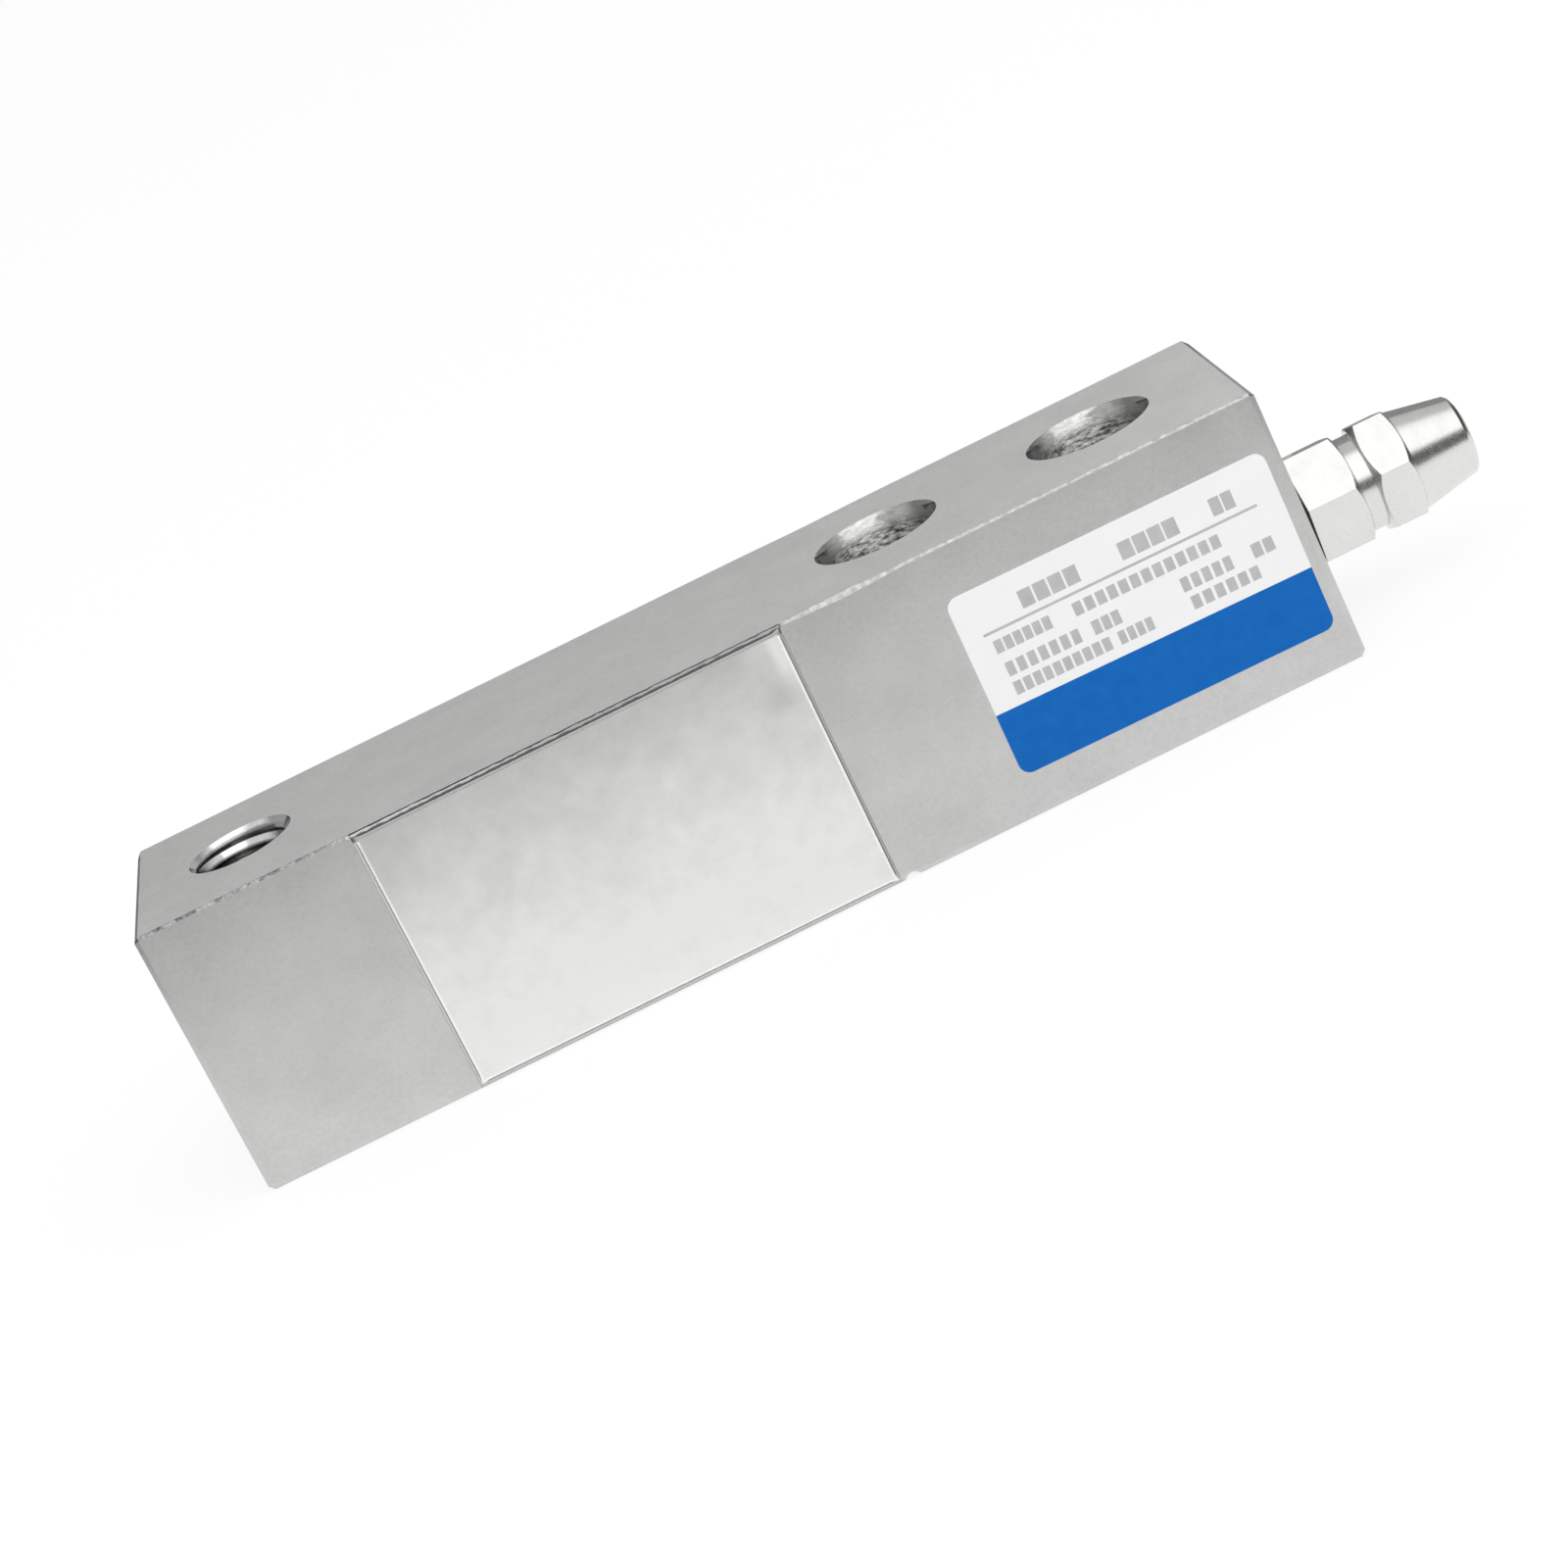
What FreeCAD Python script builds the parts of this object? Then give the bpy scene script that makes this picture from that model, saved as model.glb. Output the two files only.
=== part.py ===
"""Shear-beam weighing load cell with its gauges, covers, label and cable gland.

Millimetres. The origin is the middle of the two mounting holes, on the bottom face.
+X runs along the beam to the cable gland, -Y is the labelled front, +Z is up.
"""
import FreeCAD, Part
import os

import Sketcher
from FreeCAD import Vector

# Driving dimensions, each one a real size in millimetres or degrees
SIZES = {
    # the spring element
    "beam_length": 130.0,
    "beam_width": 31.8,
    "beam_height": 31.8,
    "edge_break": 0.6,
    # the load hole and the two mounting holes, all through from top to bottom
    "load_hole_from_end": 12.7,
    "load_to_mount": 76.2,
    "mount_spacing": 25.4,
    "load_thread_minor": 10.2,
    "load_countersink": 1.0,
    "mount_hole": 13.5,
    "mount_hole_break": 0.45,
    # the half-round groove across the underside, and its flared ends
    "relief_radius": 1.0,
    "relief_depth": 0.6,
    "relief_from_load_hole": 63.5,
    "relief_flare": 0.35,
    "relief_flare_angle": 45.0,
    # the gauge pockets, one from each side, and the web left between them
    "web_thickness": 5.0,
    "pocket_length": 38.0,
    "pocket_height": 20.0,
    "pocket_corner": 5.0,
    "link_hole": 3.2,
    "link_hole_rise": 7.4,
    # the thin cover sheets in their milled steps
    "cover_from_end": 25.4,
    "cover_length": 49.2,
    "cover_height": 30.6,
    "cover_thickness": 0.5,
    "cover_proud": 0.1,
    "cover_gap": 0.3,
    "cover_corner": 0.8,
    "cover_rim": 0.15,
    # the sealing compound behind each cover
    "potting_clearance": 0.05,
    "gauge_room": 4.0,
    # the wire way from the gland round the mounting holes to the rear pocket
    "wire_way": 4.0,
    "wire_way_from_rear": 4.7,
    "wire_way_run_out": 1.0,
    "branch_hole": 3.6,
    "branch_from_end": 2.1,
    "branch_angle": 45.0,
    "plug_hole": 5.0,
    "plug_depth": 5.2,
    "plug_clearance": 0.05,
    "plug_sunk": 0.2,
    "plug_socket": 2.5,
    "plug_socket_depth": 2.2,
    # the shear gauges on the web: a carrier film, and foil with two slanted grids
    "gauge_length": 11.0,
    "gauge_height": 9.0,
    "carrier_thickness": 0.12,
    "foil_thickness": 0.1,
    "foil_line": 0.3,
    "grid_pitch": 0.6,
    "grid_length": 2.6,
    "grid_angle": 45.0,
    "grid_from_centre": 1.0,
    "grid_rise": 2.25,
    "lead_from_grid": 1.55,
    "return_from_centre": 3.4,
    "tab_length": 1.3,
    "tab_height": 1.5,
    "tab_margin": 0.3,
    # the temperature compensation patch beside each gauge
    "patch_length": 4.0,
    "patch_height": 8.0,
    "patch_from_centre": 8.6,
    # the terminal strip in each pocket, with its solder pads
    "strip_length": 4.6,
    "strip_height": 15.0,
    "strip_thickness": 0.8,
    "strip_from_centre": 11.0,
    "pad_length": 3.4,
    "pad_height": 1.6,
    "pad_pitch": 3.0,
    "pad_count": 5,
    "pad_thickness": 0.12,
    # the wound trimming resistor in each pocket
    "spool_from_centre": 14.6,
    "spool_radius": 1.3,
    "spool_length": 7.0,
    "spool_flange": 0.7,
    "winding_depth": 0.3,
    # the jumper wires
    "wire_radius": 0.22,
    "wire_rise": 1.3,
    "wire_step": 0.7,
    "wire_spacing": 1.3,
    # the cable gland: sealing washer, body and compression nut
    "gland_height": 12.7,
    "gland_across_flats": 12.0,
    "gland_clocking": 16.0,
    "gland_thread": 10.0,
    "gland_thread_length": 5.5,
    "gland_thread_clearance": 0.1,
    "gland_lead_in": 0.5,
    "gland_bore_depth": 7.4,
    "gland_bore": 5.8,
    "washer_thickness": 1.6,
    "washer_outer": 11.6,
    "gland_hex_length": 6.3,
    "gland_collar": 10.9,
    "gland_collar_length": 1.8,
    "hex_chamfer_angle": 30.0,
    "hex_chamfer_land": 11.64,
    "nut_clocking": 15.0,
    "nut_thread": 9.5,
    "nut_thread_length": 5.0,
    "nut_thread_clearance": 0.1,
    "nut_thread_relief": 0.4,
    "nut_hex_length": 4.6,
    "nut_nose_length": 7.2,
    "nut_tip": 9.1,
    "nut_tip_step": 8.4,
    "nut_tip_land": 7.1,
    "nut_tip_depth": 0.6,
    "nut_tip_step_depth": 0.25,
    "nut_inner_mouth": 8.7,
    "nut_end_wall": 1.2,
    "cable_hole": 6.4,
    # the clamping claw and the cable seal inside the gland
    "seat_wall": 0.85,
    "claw_clearance": 0.05,
    "claw_wall": 0.45,
    "claw_body_length": 4.8,
    "claw_finger_length": 4.0,
    "claw_taper": 0.25,
    "claw_slots": 8,
    "claw_slot_width": 0.5,
    "seal_bore": 5.2,
    "seal_length": 8.0,
    "seal_clearance": 0.05,
    "seal_lip": 0.3,
    # the rating label
    "label_length": 36.8,
    "label_height": 21.1,
    "label_thickness": 0.15,
    "label_corner": 1.3,
    "label_from_end": 20.2,
    "label_centre_height": 15.3,
    "label_tilt": 0.45,
    # how far a cut or a joined piece runs past the face it meets
    "overrun": 1.0,
}

# Places worked out from the driving dimensions
LOAD_HOLE_X = "(-(Sizes.load_to_mount + Sizes.mount_spacing / 2))"
LOAD_END_X = f"({LOAD_HOLE_X} - Sizes.load_hole_from_end)"
GLAND_END_X = f"({LOAD_END_X} + Sizes.beam_length)"
POCKET_X = f"({LOAD_END_X} + Sizes.cover_from_end + Sizes.cover_length / 2)"
RELIEF_X = f"({LOAD_HOLE_X} + Sizes.relief_from_load_hole)"
HALF_WIDTH = "(Sizes.beam_width / 2)"
HALF_HEIGHT = "(Sizes.beam_height / 2)"
HALF_WEB = "(Sizes.web_thickness / 2)"
STEP_DEPTH = "(Sizes.cover_thickness - Sizes.cover_proud)"
WIRE_WAY_Y = f"({HALF_WIDTH} - Sizes.wire_way_from_rear)"
BRANCH_RUN = f"({WIRE_WAY_Y} / tan(Sizes.branch_angle))"
STRIP_TOP = f"({HALF_WEB} + Sizes.strip_thickness)"
CARRIER_TOP = f"({HALF_WEB} + Sizes.carrier_thickness)"
# along the gland's axis from the beam's end face, and its inner radii
NUT_START = "(Sizes.washer_thickness + Sizes.gland_hex_length + Sizes.gland_collar_length)"
NUT_HEX_END = f"({NUT_START} + Sizes.nut_hex_length)"
NUT_TIP_END = f"({NUT_HEX_END} + Sizes.nut_nose_length)"
NUT_THREAD_R = "(Sizes.nut_thread / 2 - Sizes.nut_thread_clearance)"
SEAT_R = f"({NUT_THREAD_R} - Sizes.seat_wall)"
CLAW_R = f"({SEAT_R} - Sizes.claw_clearance)"
CLAW_BORE_R = f"({CLAW_R} - Sizes.claw_wall)"

# Two places are the same when they are closer than this
NEAR = 0.01

doc = FreeCAD.newDocument("LoadCell")
sheet = doc.addObject("Spreadsheet::Sheet", "Sizes")
for row, (alias, number) in enumerate(SIZES.items(), start=1):
    sheet.set(f"A{row}", str(number))
    sheet.setAlias(f"A{row}", alias)
doc.recompute()


def value(expression):
    """The number that an expression on the sheet gives now."""
    return float(sheet.evalExpression(expression))


def new_body(label, x, y, z, axis=Vector(0, 0, 1), angle="0"):
    """A sub-part of its own, with its origin and its turn bound to the sheet."""
    body = doc.addObject("PartDesign::Body", label)
    body.Label = label
    body.Placement = FreeCAD.Placement(Vector(), FreeCAD.Rotation(axis, 1))
    for name, place in zip("xyz", (x, y, z)):
        body.setExpression(f"Placement.Base.{name}", place)
    body.setExpression("Placement.Rotation.Angle", angle)
    return body


def on_web(label, side):
    """A sub-part made as if for the front pocket, and turned round for the rear one."""
    return new_body(label, POCKET_X, "0", HALF_HEIGHT, angle=HALF_TURNS[side])


def on_gland(label, clocking="0"):
    """A sub-part on the gland's axis, turned about it as it was tightened."""
    return new_body(label, GLAND_END_X, "0", "Sizes.gland_height", Vector(1, 0, 0), clocking)


# the front is modelled, and the rear is the same turned half round about +Z
HALF_TURNS = {"front": "0", "rear": "180"}


def origin_part(body, role):
    """A plane or an axis of a body's own origin."""
    return [part for part in body.Origin.OriginFeatures if part.Role == role][0]


def new_sketch(body, name, plane, across="0", up="0", out="0", axis=None, angle="0"):
    """A sketch on an origin plane of its body, moved and turned in the plane's own axes."""
    sketch = body.newObject("Sketcher::SketchObject", name)
    sketch.AttachmentSupport = (origin_part(body, plane), [""])
    sketch.MapMode = "FlatFace"
    if axis:
        sketch.AttachmentOffset = FreeCAD.Placement(Vector(), FreeCAD.Rotation(axis, 1))
        sketch.setExpression("AttachmentOffset.Rotation.Angle", angle)
    for name, place in zip("xyz", (across, up, out)):
        sketch.setExpression(f"AttachmentOffset.Base.{name}", place)
    return sketch


def bind(sketch, kind, places, expression):
    """One dimension of a sketch, tied to the sheet."""
    index = sketch.addConstraint(Sketcher.Constraint(kind, *places, value(expression)))
    sketch.setExpression(f"Constraints[{index}]", expression)


def draw_outline(sketch, corners):
    """A closed outline of straight lines through corners given as expressions."""
    first = sketch.GeometryCount
    count = len(corners)
    points = [Vector(value(across), value(up), 0) for across, up in corners]
    for index, point in enumerate(points):
        sketch.addGeometry(Part.LineSegment(point, points[(index + 1) % count]), False)
    for index, (across, up) in enumerate(corners):
        line = first + index
        following = first + (index + 1) % count
        sketch.addConstraint(Sketcher.Constraint("Coincident", line, 2, following, 1))
        bind(sketch, "DistanceX", (-1, 1, line, 1), across)
        bind(sketch, "DistanceY", (-1, 1, line, 1), up)


def draw_circle(sketch, radius):
    """A circle about the sketch's own origin."""
    circle = Part.Circle(Vector(0, 0, 0), Vector(0, 0, 1), value(radius))
    index = sketch.addGeometry(circle, False)
    sketch.addConstraint(Sketcher.Constraint("Coincident", index, 3, -1, 1))
    bind(sketch, "Radius", (index,), radius)


def draw_rectangle(sketch, length, height):
    """A rectangle about the sketch's own origin."""
    across = f"{length} / 2"
    up = f"{height} / 2"
    draw_outline(sketch, [(f"-({across})", f"-({up})"), (across, f"-({up})"),
                          (across, up), (f"-({across})", up)])


def draw_hexagon(sketch, across_flats):
    """A hexagon about the sketch's own origin, with a corner straight up."""
    corner = f"({across_flats} / sqrt(3))"
    half = f"({across_flats} / 2)"
    draw_outline(sketch, [("0", corner), (f"-{half}", f"{corner} / 2"),
                          (f"-{half}", f"-{corner} / 2"), ("0", f"-{corner}"),
                          (half, f"-{corner} / 2"), (half, f"{corner} / 2")])


def sweep_straight(body, kind, name, sketch, length, reverse=False):
    """A pad or a pocket of one sketch."""
    feature = body.newObject(f"PartDesign::{kind}", name)
    feature.Profile = sketch
    feature.Reversed = reverse
    feature.setExpression("Length", length)
    doc.recompute()
    return feature


def sweep_round(body, kind, name, section):
    """A revolution or a groove about the body's own X axis."""
    sketch = new_sketch(body, f"{name}_section", "XZ_Plane")
    draw_outline(sketch, section)
    feature = body.newObject(f"PartDesign::{kind}", name)
    feature.Profile = sketch
    feature.ReferenceAxis = (origin_part(body, "X_Axis"), [""])
    feature.Angle = 360.0
    doc.recompute()
    return feature


def repeat(body, kind, name, originals, target, role):
    """A pattern or a mirror image of features, which becomes the body's tip."""
    feature = body.newObject(f"PartDesign::{kind}", name)
    feature.Originals = originals
    setattr(feature, target, (origin_part(body, role), [""]))
    body.Tip = feature
    return feature


def mirror_to_rear(body, feature):
    """The same feature again on the rear side."""
    repeat(body, "Mirrored", f"{feature.Label}_rear", [feature], "MirrorPlane", "XZ_Plane")
    doc.recompute()


def dress_edges(body, kind, name, size, test):
    """A fillet or a chamfer on the edges of the body's tip that pass a test."""
    base = body.Tip
    names = [f"Edge{index}" for index, edge in enumerate(base.Shape.Edges, start=1)
             if test(edge)]
    feature = body.newObject(f"PartDesign::{kind}", name)
    feature.Base = (base, names)
    feature.setExpression("Radius" if kind == "Fillet" else "Size", size)
    doc.recompute()


def is_mouth(edge, radius, height):
    """Is this edge the level rim of a hole of one radius at one height?"""
    curve = edge.Curve
    if not isinstance(curve, Part.Circle) or abs(curve.Axis.z) < 1 - NEAR:
        return False
    return abs(curve.Radius - radius) < NEAR and abs(curve.Center.z - height) < NEAR


def is_depthwise(edge):
    """Is this edge a straight line along Y?"""
    return isinstance(edge.Curve, Part.Line) and abs(edge.Curve.Direction.y) > 1 - NEAR


def make_beam():
    """The steel spring element, milled and drilled from one square bar."""
    body = new_body("beam_body", "0", "0", "0")

    bar = new_sketch(body, "bar_section", "YZ_Plane", "0", HALF_HEIGHT, LOAD_END_X)
    draw_rectangle(bar, "Sizes.beam_width", "Sizes.beam_height")
    sweep_straight(body, "Pad", "bar", bar, "Sizes.beam_length")
    dress_edges(body, "Chamfer", "broken_edges", "Sizes.edge_break", lambda edge: True)

    # shallow steps over the full height, where the cover sheets seat
    step = new_sketch(body, "cover_step", "XZ_Plane", POCKET_X, HALF_HEIGHT, HALF_WIDTH)
    draw_rectangle(step, "(Sizes.cover_length + 2 * Sizes.cover_gap)", "Sizes.beam_height")
    mirror_to_rear(body, sweep_straight(body, "Pocket", "cover_step_cut", step, STEP_DEPTH))

    # gauge pockets with milled corners, which leave the shear web
    mill = new_sketch(body, "gauge_pocket", "XZ_Plane", POCKET_X, HALF_HEIGHT, HALF_WIDTH)
    draw_rectangle(mill, "Sizes.pocket_length", "Sizes.pocket_height")
    mirror_to_rear(body, sweep_straight(body, "Pocket", "gauge_pocket_cut", mill,
                                        f"{HALF_WIDTH} - {HALF_WEB}"))
    half_length = value("Sizes.pocket_length / 2")
    middle = value(POCKET_X)
    dress_edges(body, "Fillet", "pocket_corners", "Sizes.pocket_corner",
                lambda edge: is_depthwise(edge) and
                abs(abs(edge.CenterOfMass.x - middle) - half_length) < NEAR)

    # the load hole, drilled for its thread, and the two plain mounting holes
    load = new_sketch(body, "load_hole", "XY_Plane", LOAD_HOLE_X, "0", "Sizes.beam_height")
    draw_circle(load, "Sizes.load_thread_minor / 2")
    sweep_straight(body, "Pocket", "load_hole_drilling", load, "Sizes.beam_height")
    mount = new_sketch(body, "mount_hole", "XY_Plane", "-Sizes.mount_spacing / 2", "0",
                       "Sizes.beam_height")
    draw_circle(mount, "Sizes.mount_hole / 2")
    drilled = sweep_straight(body, "Pocket", "mount_hole_drilling", mount, "Sizes.beam_height")
    pair = repeat(body, "LinearPattern", "mount_hole_pair", [drilled], "Direction", "X_Axis")
    pair.setExpression("Length", "Sizes.mount_spacing")
    pair.Occurrences = 2
    doc.recompute()
    top = value("Sizes.beam_height")
    for name, diameter, size in (("load_mouths", "load_thread_minor", "load_countersink"),
                                 ("mount_mouths", "mount_hole", "mount_hole_break")):
        radius = value(f"Sizes.{diameter} / 2")
        dress_edges(body, "Chamfer", name, f"Sizes.{size}",
                    lambda edge: is_mouth(edge, radius, 0) or is_mouth(edge, radius, top))

    # the half-round relief groove across the underside, flared at each end
    centre = "(Sizes.relief_depth - Sizes.relief_radius)"
    relief = new_sketch(body, "relief_groove", "XZ_Plane", RELIEF_X, centre, HALF_WIDTH)
    draw_circle(relief, "Sizes.relief_radius")
    sweep_straight(body, "Pocket", "relief_groove_cut", relief, "Sizes.beam_width")
    flare = new_sketch(body, "relief_flare", "XZ_Plane", RELIEF_X, centre, HALF_WIDTH)
    draw_circle(flare, "(Sizes.relief_radius + Sizes.relief_flare)")
    flared = sweep_straight(body, "Pocket", "relief_flare_cut", flare, "Sizes.relief_flare")
    flared.setExpression("TaperAngle", "-Sizes.relief_flare_angle")
    doc.recompute()
    mirror_to_rear(body, flared)

    # a hole through the web joins the two pockets
    link = new_sketch(body, "link_hole", "XZ_Plane", POCKET_X,
                      f"{HALF_HEIGHT} + Sizes.link_hole_rise", f"{HALF_WEB} + Sizes.overrun")
    draw_circle(link, "Sizes.link_hole / 2")
    sweep_straight(body, "Pocket", "link_hole_drilling", link,
                   "Sizes.web_thickness + 2 * Sizes.overrun")

    # bored from the end face: the wire way, the seat of its plug, and the gland's thread
    to_pocket = f"{GLAND_END_X} - {POCKET_X} - Sizes.pocket_length / 2 + Sizes.wire_way_run_out"
    for name, offset, length in (("wire_way", WIRE_WAY_Y, to_pocket),
                                 ("plug_hole", WIRE_WAY_Y, "Sizes.plug_depth"),
                                 ("gland_thread", "0", "Sizes.gland_bore_depth")):
        bore = new_sketch(body, f"{name}_outline", "YZ_Plane", offset, "Sizes.gland_height",
                          GLAND_END_X)
        draw_circle(bore, f"Sizes.{name} / 2")
        sweep_straight(body, "Pocket", f"{name}_drilling", bore, length)

    # a slanted branch joins the gland's bore and the wire way, clear of the mounting hole
    branch = new_sketch(body, "branch_hole", "YZ_Plane", WIRE_WAY_Y, "Sizes.gland_height",
                        f"{GLAND_END_X} - Sizes.branch_from_end - {BRANCH_RUN}",
                        Vector(0, 1, 0), "-Sizes.branch_angle")
    draw_circle(branch, "Sizes.branch_hole / 2")
    sweep_straight(body, "Pocket", "branch_hole_drilling", branch,
                   f"{WIRE_WAY_Y} / sin(Sizes.branch_angle)", reverse=True)


def make_cover(label, side):
    """A thin steel sheet with a broken rim, seated in the step of one side."""
    body = on_web(label, side)
    outer = f"({HALF_WIDTH} + Sizes.cover_proud)"
    outline = new_sketch(body, f"{label}_outline", "XZ_Plane", "0", "0",
                         f"{outer} - Sizes.cover_thickness")
    draw_rectangle(outline, "Sizes.cover_length", "Sizes.cover_height")
    sweep_straight(body, "Pad", f"{label}_sheet", outline, "Sizes.cover_thickness")
    dress_edges(body, "Fillet", f"{label}_corners", "Sizes.cover_corner", is_depthwise)
    face = -value(outer)
    dress_edges(body, "Chamfer", f"{label}_rim", "Sizes.cover_rim",
                lambda edge: abs(edge.CenterOfMass.y - face) < NEAR)


def make_potting(label, side):
    """The block of sealing compound that fills the mouth of a gauge pocket."""
    body = on_web(label, side)
    inner = f"({HALF_WEB} + Sizes.gauge_room)"
    outline = new_sketch(body, f"{label}_outline", "XZ_Plane", "0", "0", inner)
    draw_rectangle(outline, "(Sizes.pocket_length - 2 * Sizes.potting_clearance)",
                   "(Sizes.pocket_height - 2 * Sizes.potting_clearance)")
    sweep_straight(body, "Pad", f"{label}_fill", outline,
                   f"{HALF_WIDTH} - {STEP_DEPTH} - {inner}")
    dress_edges(body, "Fillet", f"{label}_corners",
                "Sizes.pocket_corner - Sizes.potting_clearance", is_depthwise)


def make_flat_layer(label, side, across, length, height, thickness):
    """A rectangular layer that is bonded flat to the web."""
    body = on_web(label, side)
    outline = new_sketch(body, f"{label}_outline", "XZ_Plane", across, "0", HALF_WEB)
    draw_rectangle(outline, length, height)
    sweep_straight(body, "Pad", f"{label}_layer", outline, thickness)


def grid_outline():
    """Outline of a zigzag grid of five rows: one half of it, and that turned half round."""
    end = "Sizes.grid_length / 2"
    inner = f"({end} - Sizes.foil_line)"
    below = [f"{row} * Sizes.grid_pitch - Sizes.foil_line / 2" for row in range(-2, 3)]
    above = [f"{row} * Sizes.grid_pitch + Sizes.foil_line / 2" for row in range(-2, 3)]
    half = [(f"-{end}", below[0])]
    for row in (0, 2):
        half += [(end, below[row]), (end, above[row + 1]),
                 (f"-{inner}", above[row + 1]), (f"-{inner}", below[row + 2])]
    half.append((end, below[4]))
    return half + [(f"-({across})", f"-({up})") for across, up in half]


def make_gauge_foil(label, side):
    """The foil of one shear gauge: two slanted grids, joined by leads to three tabs."""
    body = on_web(label, side)
    tab_end = "(Sizes.gauge_length / 2 - Sizes.tab_margin)"
    tab_start = f"({tab_end} - Sizes.tab_length)"
    half_tab = "(Sizes.tab_height / 2)"
    half_line = "(Sizes.foil_line / 2)"
    grid_x = "-Sizes.grid_from_centre"
    rise = "Sizes.grid_rise"

    # the upper grid, its signal lead and tab, and the upper half of the common lead and tab
    grid = new_sketch(body, f"{label}_grid", "XZ_Plane", grid_x, rise, CARRIER_TOP,
                      Vector(0, 0, 1), "-Sizes.grid_angle")
    draw_outline(grid, grid_outline())
    signal = new_sketch(body, f"{label}_signal", "XZ_Plane", "0", "0", CARRIER_TOP)
    signal_start = f"({grid_x} + Sizes.lead_from_grid)"
    draw_outline(signal, [(signal_start, rise), (tab_end, rise),
                          (tab_end, f"Sizes.pad_pitch + {half_tab}"),
                          (tab_start, f"Sizes.pad_pitch + {half_tab}"),
                          (tab_start, f"{rise} + Sizes.foil_line"),
                          (signal_start, f"{rise} + Sizes.foil_line")])
    common = new_sketch(body, f"{label}_common", "XZ_Plane", "0", "0", CARRIER_TOP)
    common_start = f"({grid_x} - Sizes.lead_from_grid)"
    left = "-Sizes.return_from_centre"
    draw_outline(common, [(left, "0"), (tab_end, "0"), (tab_end, half_tab),
                          (tab_start, half_tab), (tab_start, half_line),
                          (f"{left} + Sizes.foil_line", half_line),
                          (f"{left} + Sizes.foil_line", f"{rise} - Sizes.foil_line"),
                          (common_start, f"{rise} - Sizes.foil_line"),
                          (common_start, rise), (left, rise)])
    halves = [sweep_straight(body, "Pad", f"{sketch.Label}_foil", sketch, "Sizes.foil_thickness")
              for sketch in (common, signal, grid)]
    repeat(body, "Mirrored", f"{label}_lower_half", halves, "MirrorPlane", "XY_Plane")
    doc.recompute()


def make_solder_pads(label, side):
    """A row of tinned solder pads on the terminal strip."""
    body = on_web(label, side)
    span = "(Sizes.pad_pitch * (Sizes.pad_count - 1))"
    outline = new_sketch(body, f"{label}_outline", "XZ_Plane", "Sizes.strip_from_centre",
                         f"-{span} / 2", STRIP_TOP)
    draw_rectangle(outline, "Sizes.pad_length", "Sizes.pad_height")
    first = sweep_straight(body, "Pad", f"{label}_first", outline, "Sizes.pad_thickness")
    row_of_pads = repeat(body, "LinearPattern", f"{label}_row", [first], "Direction", "Z_Axis")
    row_of_pads.setExpression("Length", span)
    row_of_pads.setExpression("Occurrences", "Sizes.pad_count")
    doc.recompute()


def make_trim_resistor(label, side):
    """A wound trimming resistor: a flanged spool with its wire on, lying on the web."""
    body = on_web(label, side)
    section = new_sketch(body, f"{label}_section", "YZ_Plane",
                         f"-({HALF_WEB} + Sizes.spool_radius)", "0", "-Sizes.spool_from_centre")
    half = "Sizes.spool_length / 2"
    radius = "Sizes.spool_radius"
    waist = "(Sizes.spool_radius - Sizes.winding_depth)"
    flange = f"({half} - Sizes.spool_flange)"
    draw_outline(section, [("0", f"-{half}"), (radius, f"-{half}"), (radius, f"-{flange}"),
                           (waist, f"-{flange}"), (waist, flange), (radius, flange),
                           (radius, half), ("0", half)])
    spool = body.newObject("PartDesign::Revolution", f"{label}_turned")
    spool.Profile = section
    spool.ReferenceAxis = (section, ["V_Axis"])
    spool.Angle = 360.0
    doc.recompute()


def bent_wire(points):
    """A six-sided wire along straight runs, its bends mitred and its ends cut square."""
    to_corner = Vector(value("Sizes.wire_radius"), 0, 0)
    turn = FreeCAD.Rotation(points[1] - points[0], 60)
    corners = [points[0] + to_corner]
    for side in range(6):
        to_corner = turn.multVec(to_corner)
        corners.append(points[0] + to_corner)
    mitred = 1
    return Part.makePolygon(points).makePipeShell([Part.makePolygon(corners)], True, False, mitred)


def add_wires(label, side, runs):
    """Wires as one sub-part; their paths are made as if for the front pocket."""
    feature = doc.addObject("Part::Feature", label)
    feature.Label = label
    feature.Shape = Part.makeCompound([bent_wire(points) for points in runs])
    feature.Placement = FreeCAD.Placement(
        Vector(value(POCKET_X), 0, value(HALF_HEIGHT)),
        FreeCAD.Rotation(Vector(0, 0, 1), value(HALF_TURNS[side])))


def make_bridge_wires(label, side):
    """Three jumpers from the gauge's tabs to the strip, and one from the resistor."""
    tab_x = value("Sizes.gauge_length / 2 - Sizes.tab_margin - Sizes.tab_length / 2")
    tab_top = value(f"{CARRIER_TOP} + Sizes.foil_thickness")
    pad_x = value("Sizes.strip_from_centre - Sizes.wire_spacing / 2")
    pad_top = value(f"{STRIP_TOP} + Sizes.pad_thickness")
    level = pad_top + value("Sizes.wire_rise")
    pitch = value("Sizes.pad_pitch")
    runs = []
    for up in (-pitch, 0, pitch):
        runs.append([Vector(tab_x, -tab_top, up), Vector(tab_x, -level, up),
                     Vector(pad_x, -level, up), Vector(pad_x, -pad_top, up)])
    spool_x = -value("Sizes.spool_from_centre")
    spool_top = value(f"{HALF_WEB} + 2 * Sizes.spool_radius")
    spool_end = -value("(Sizes.spool_length - Sizes.spool_flange) / 2")
    over = level + 2 * value("Sizes.wire_step")
    runs.append([Vector(spool_x, -spool_top, spool_end), Vector(spool_x, -over, spool_end),
                 Vector(pad_x, -over, -2 * pitch), Vector(pad_x, -pad_top, -2 * pitch)])
    add_wires(label, side, runs)


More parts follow.
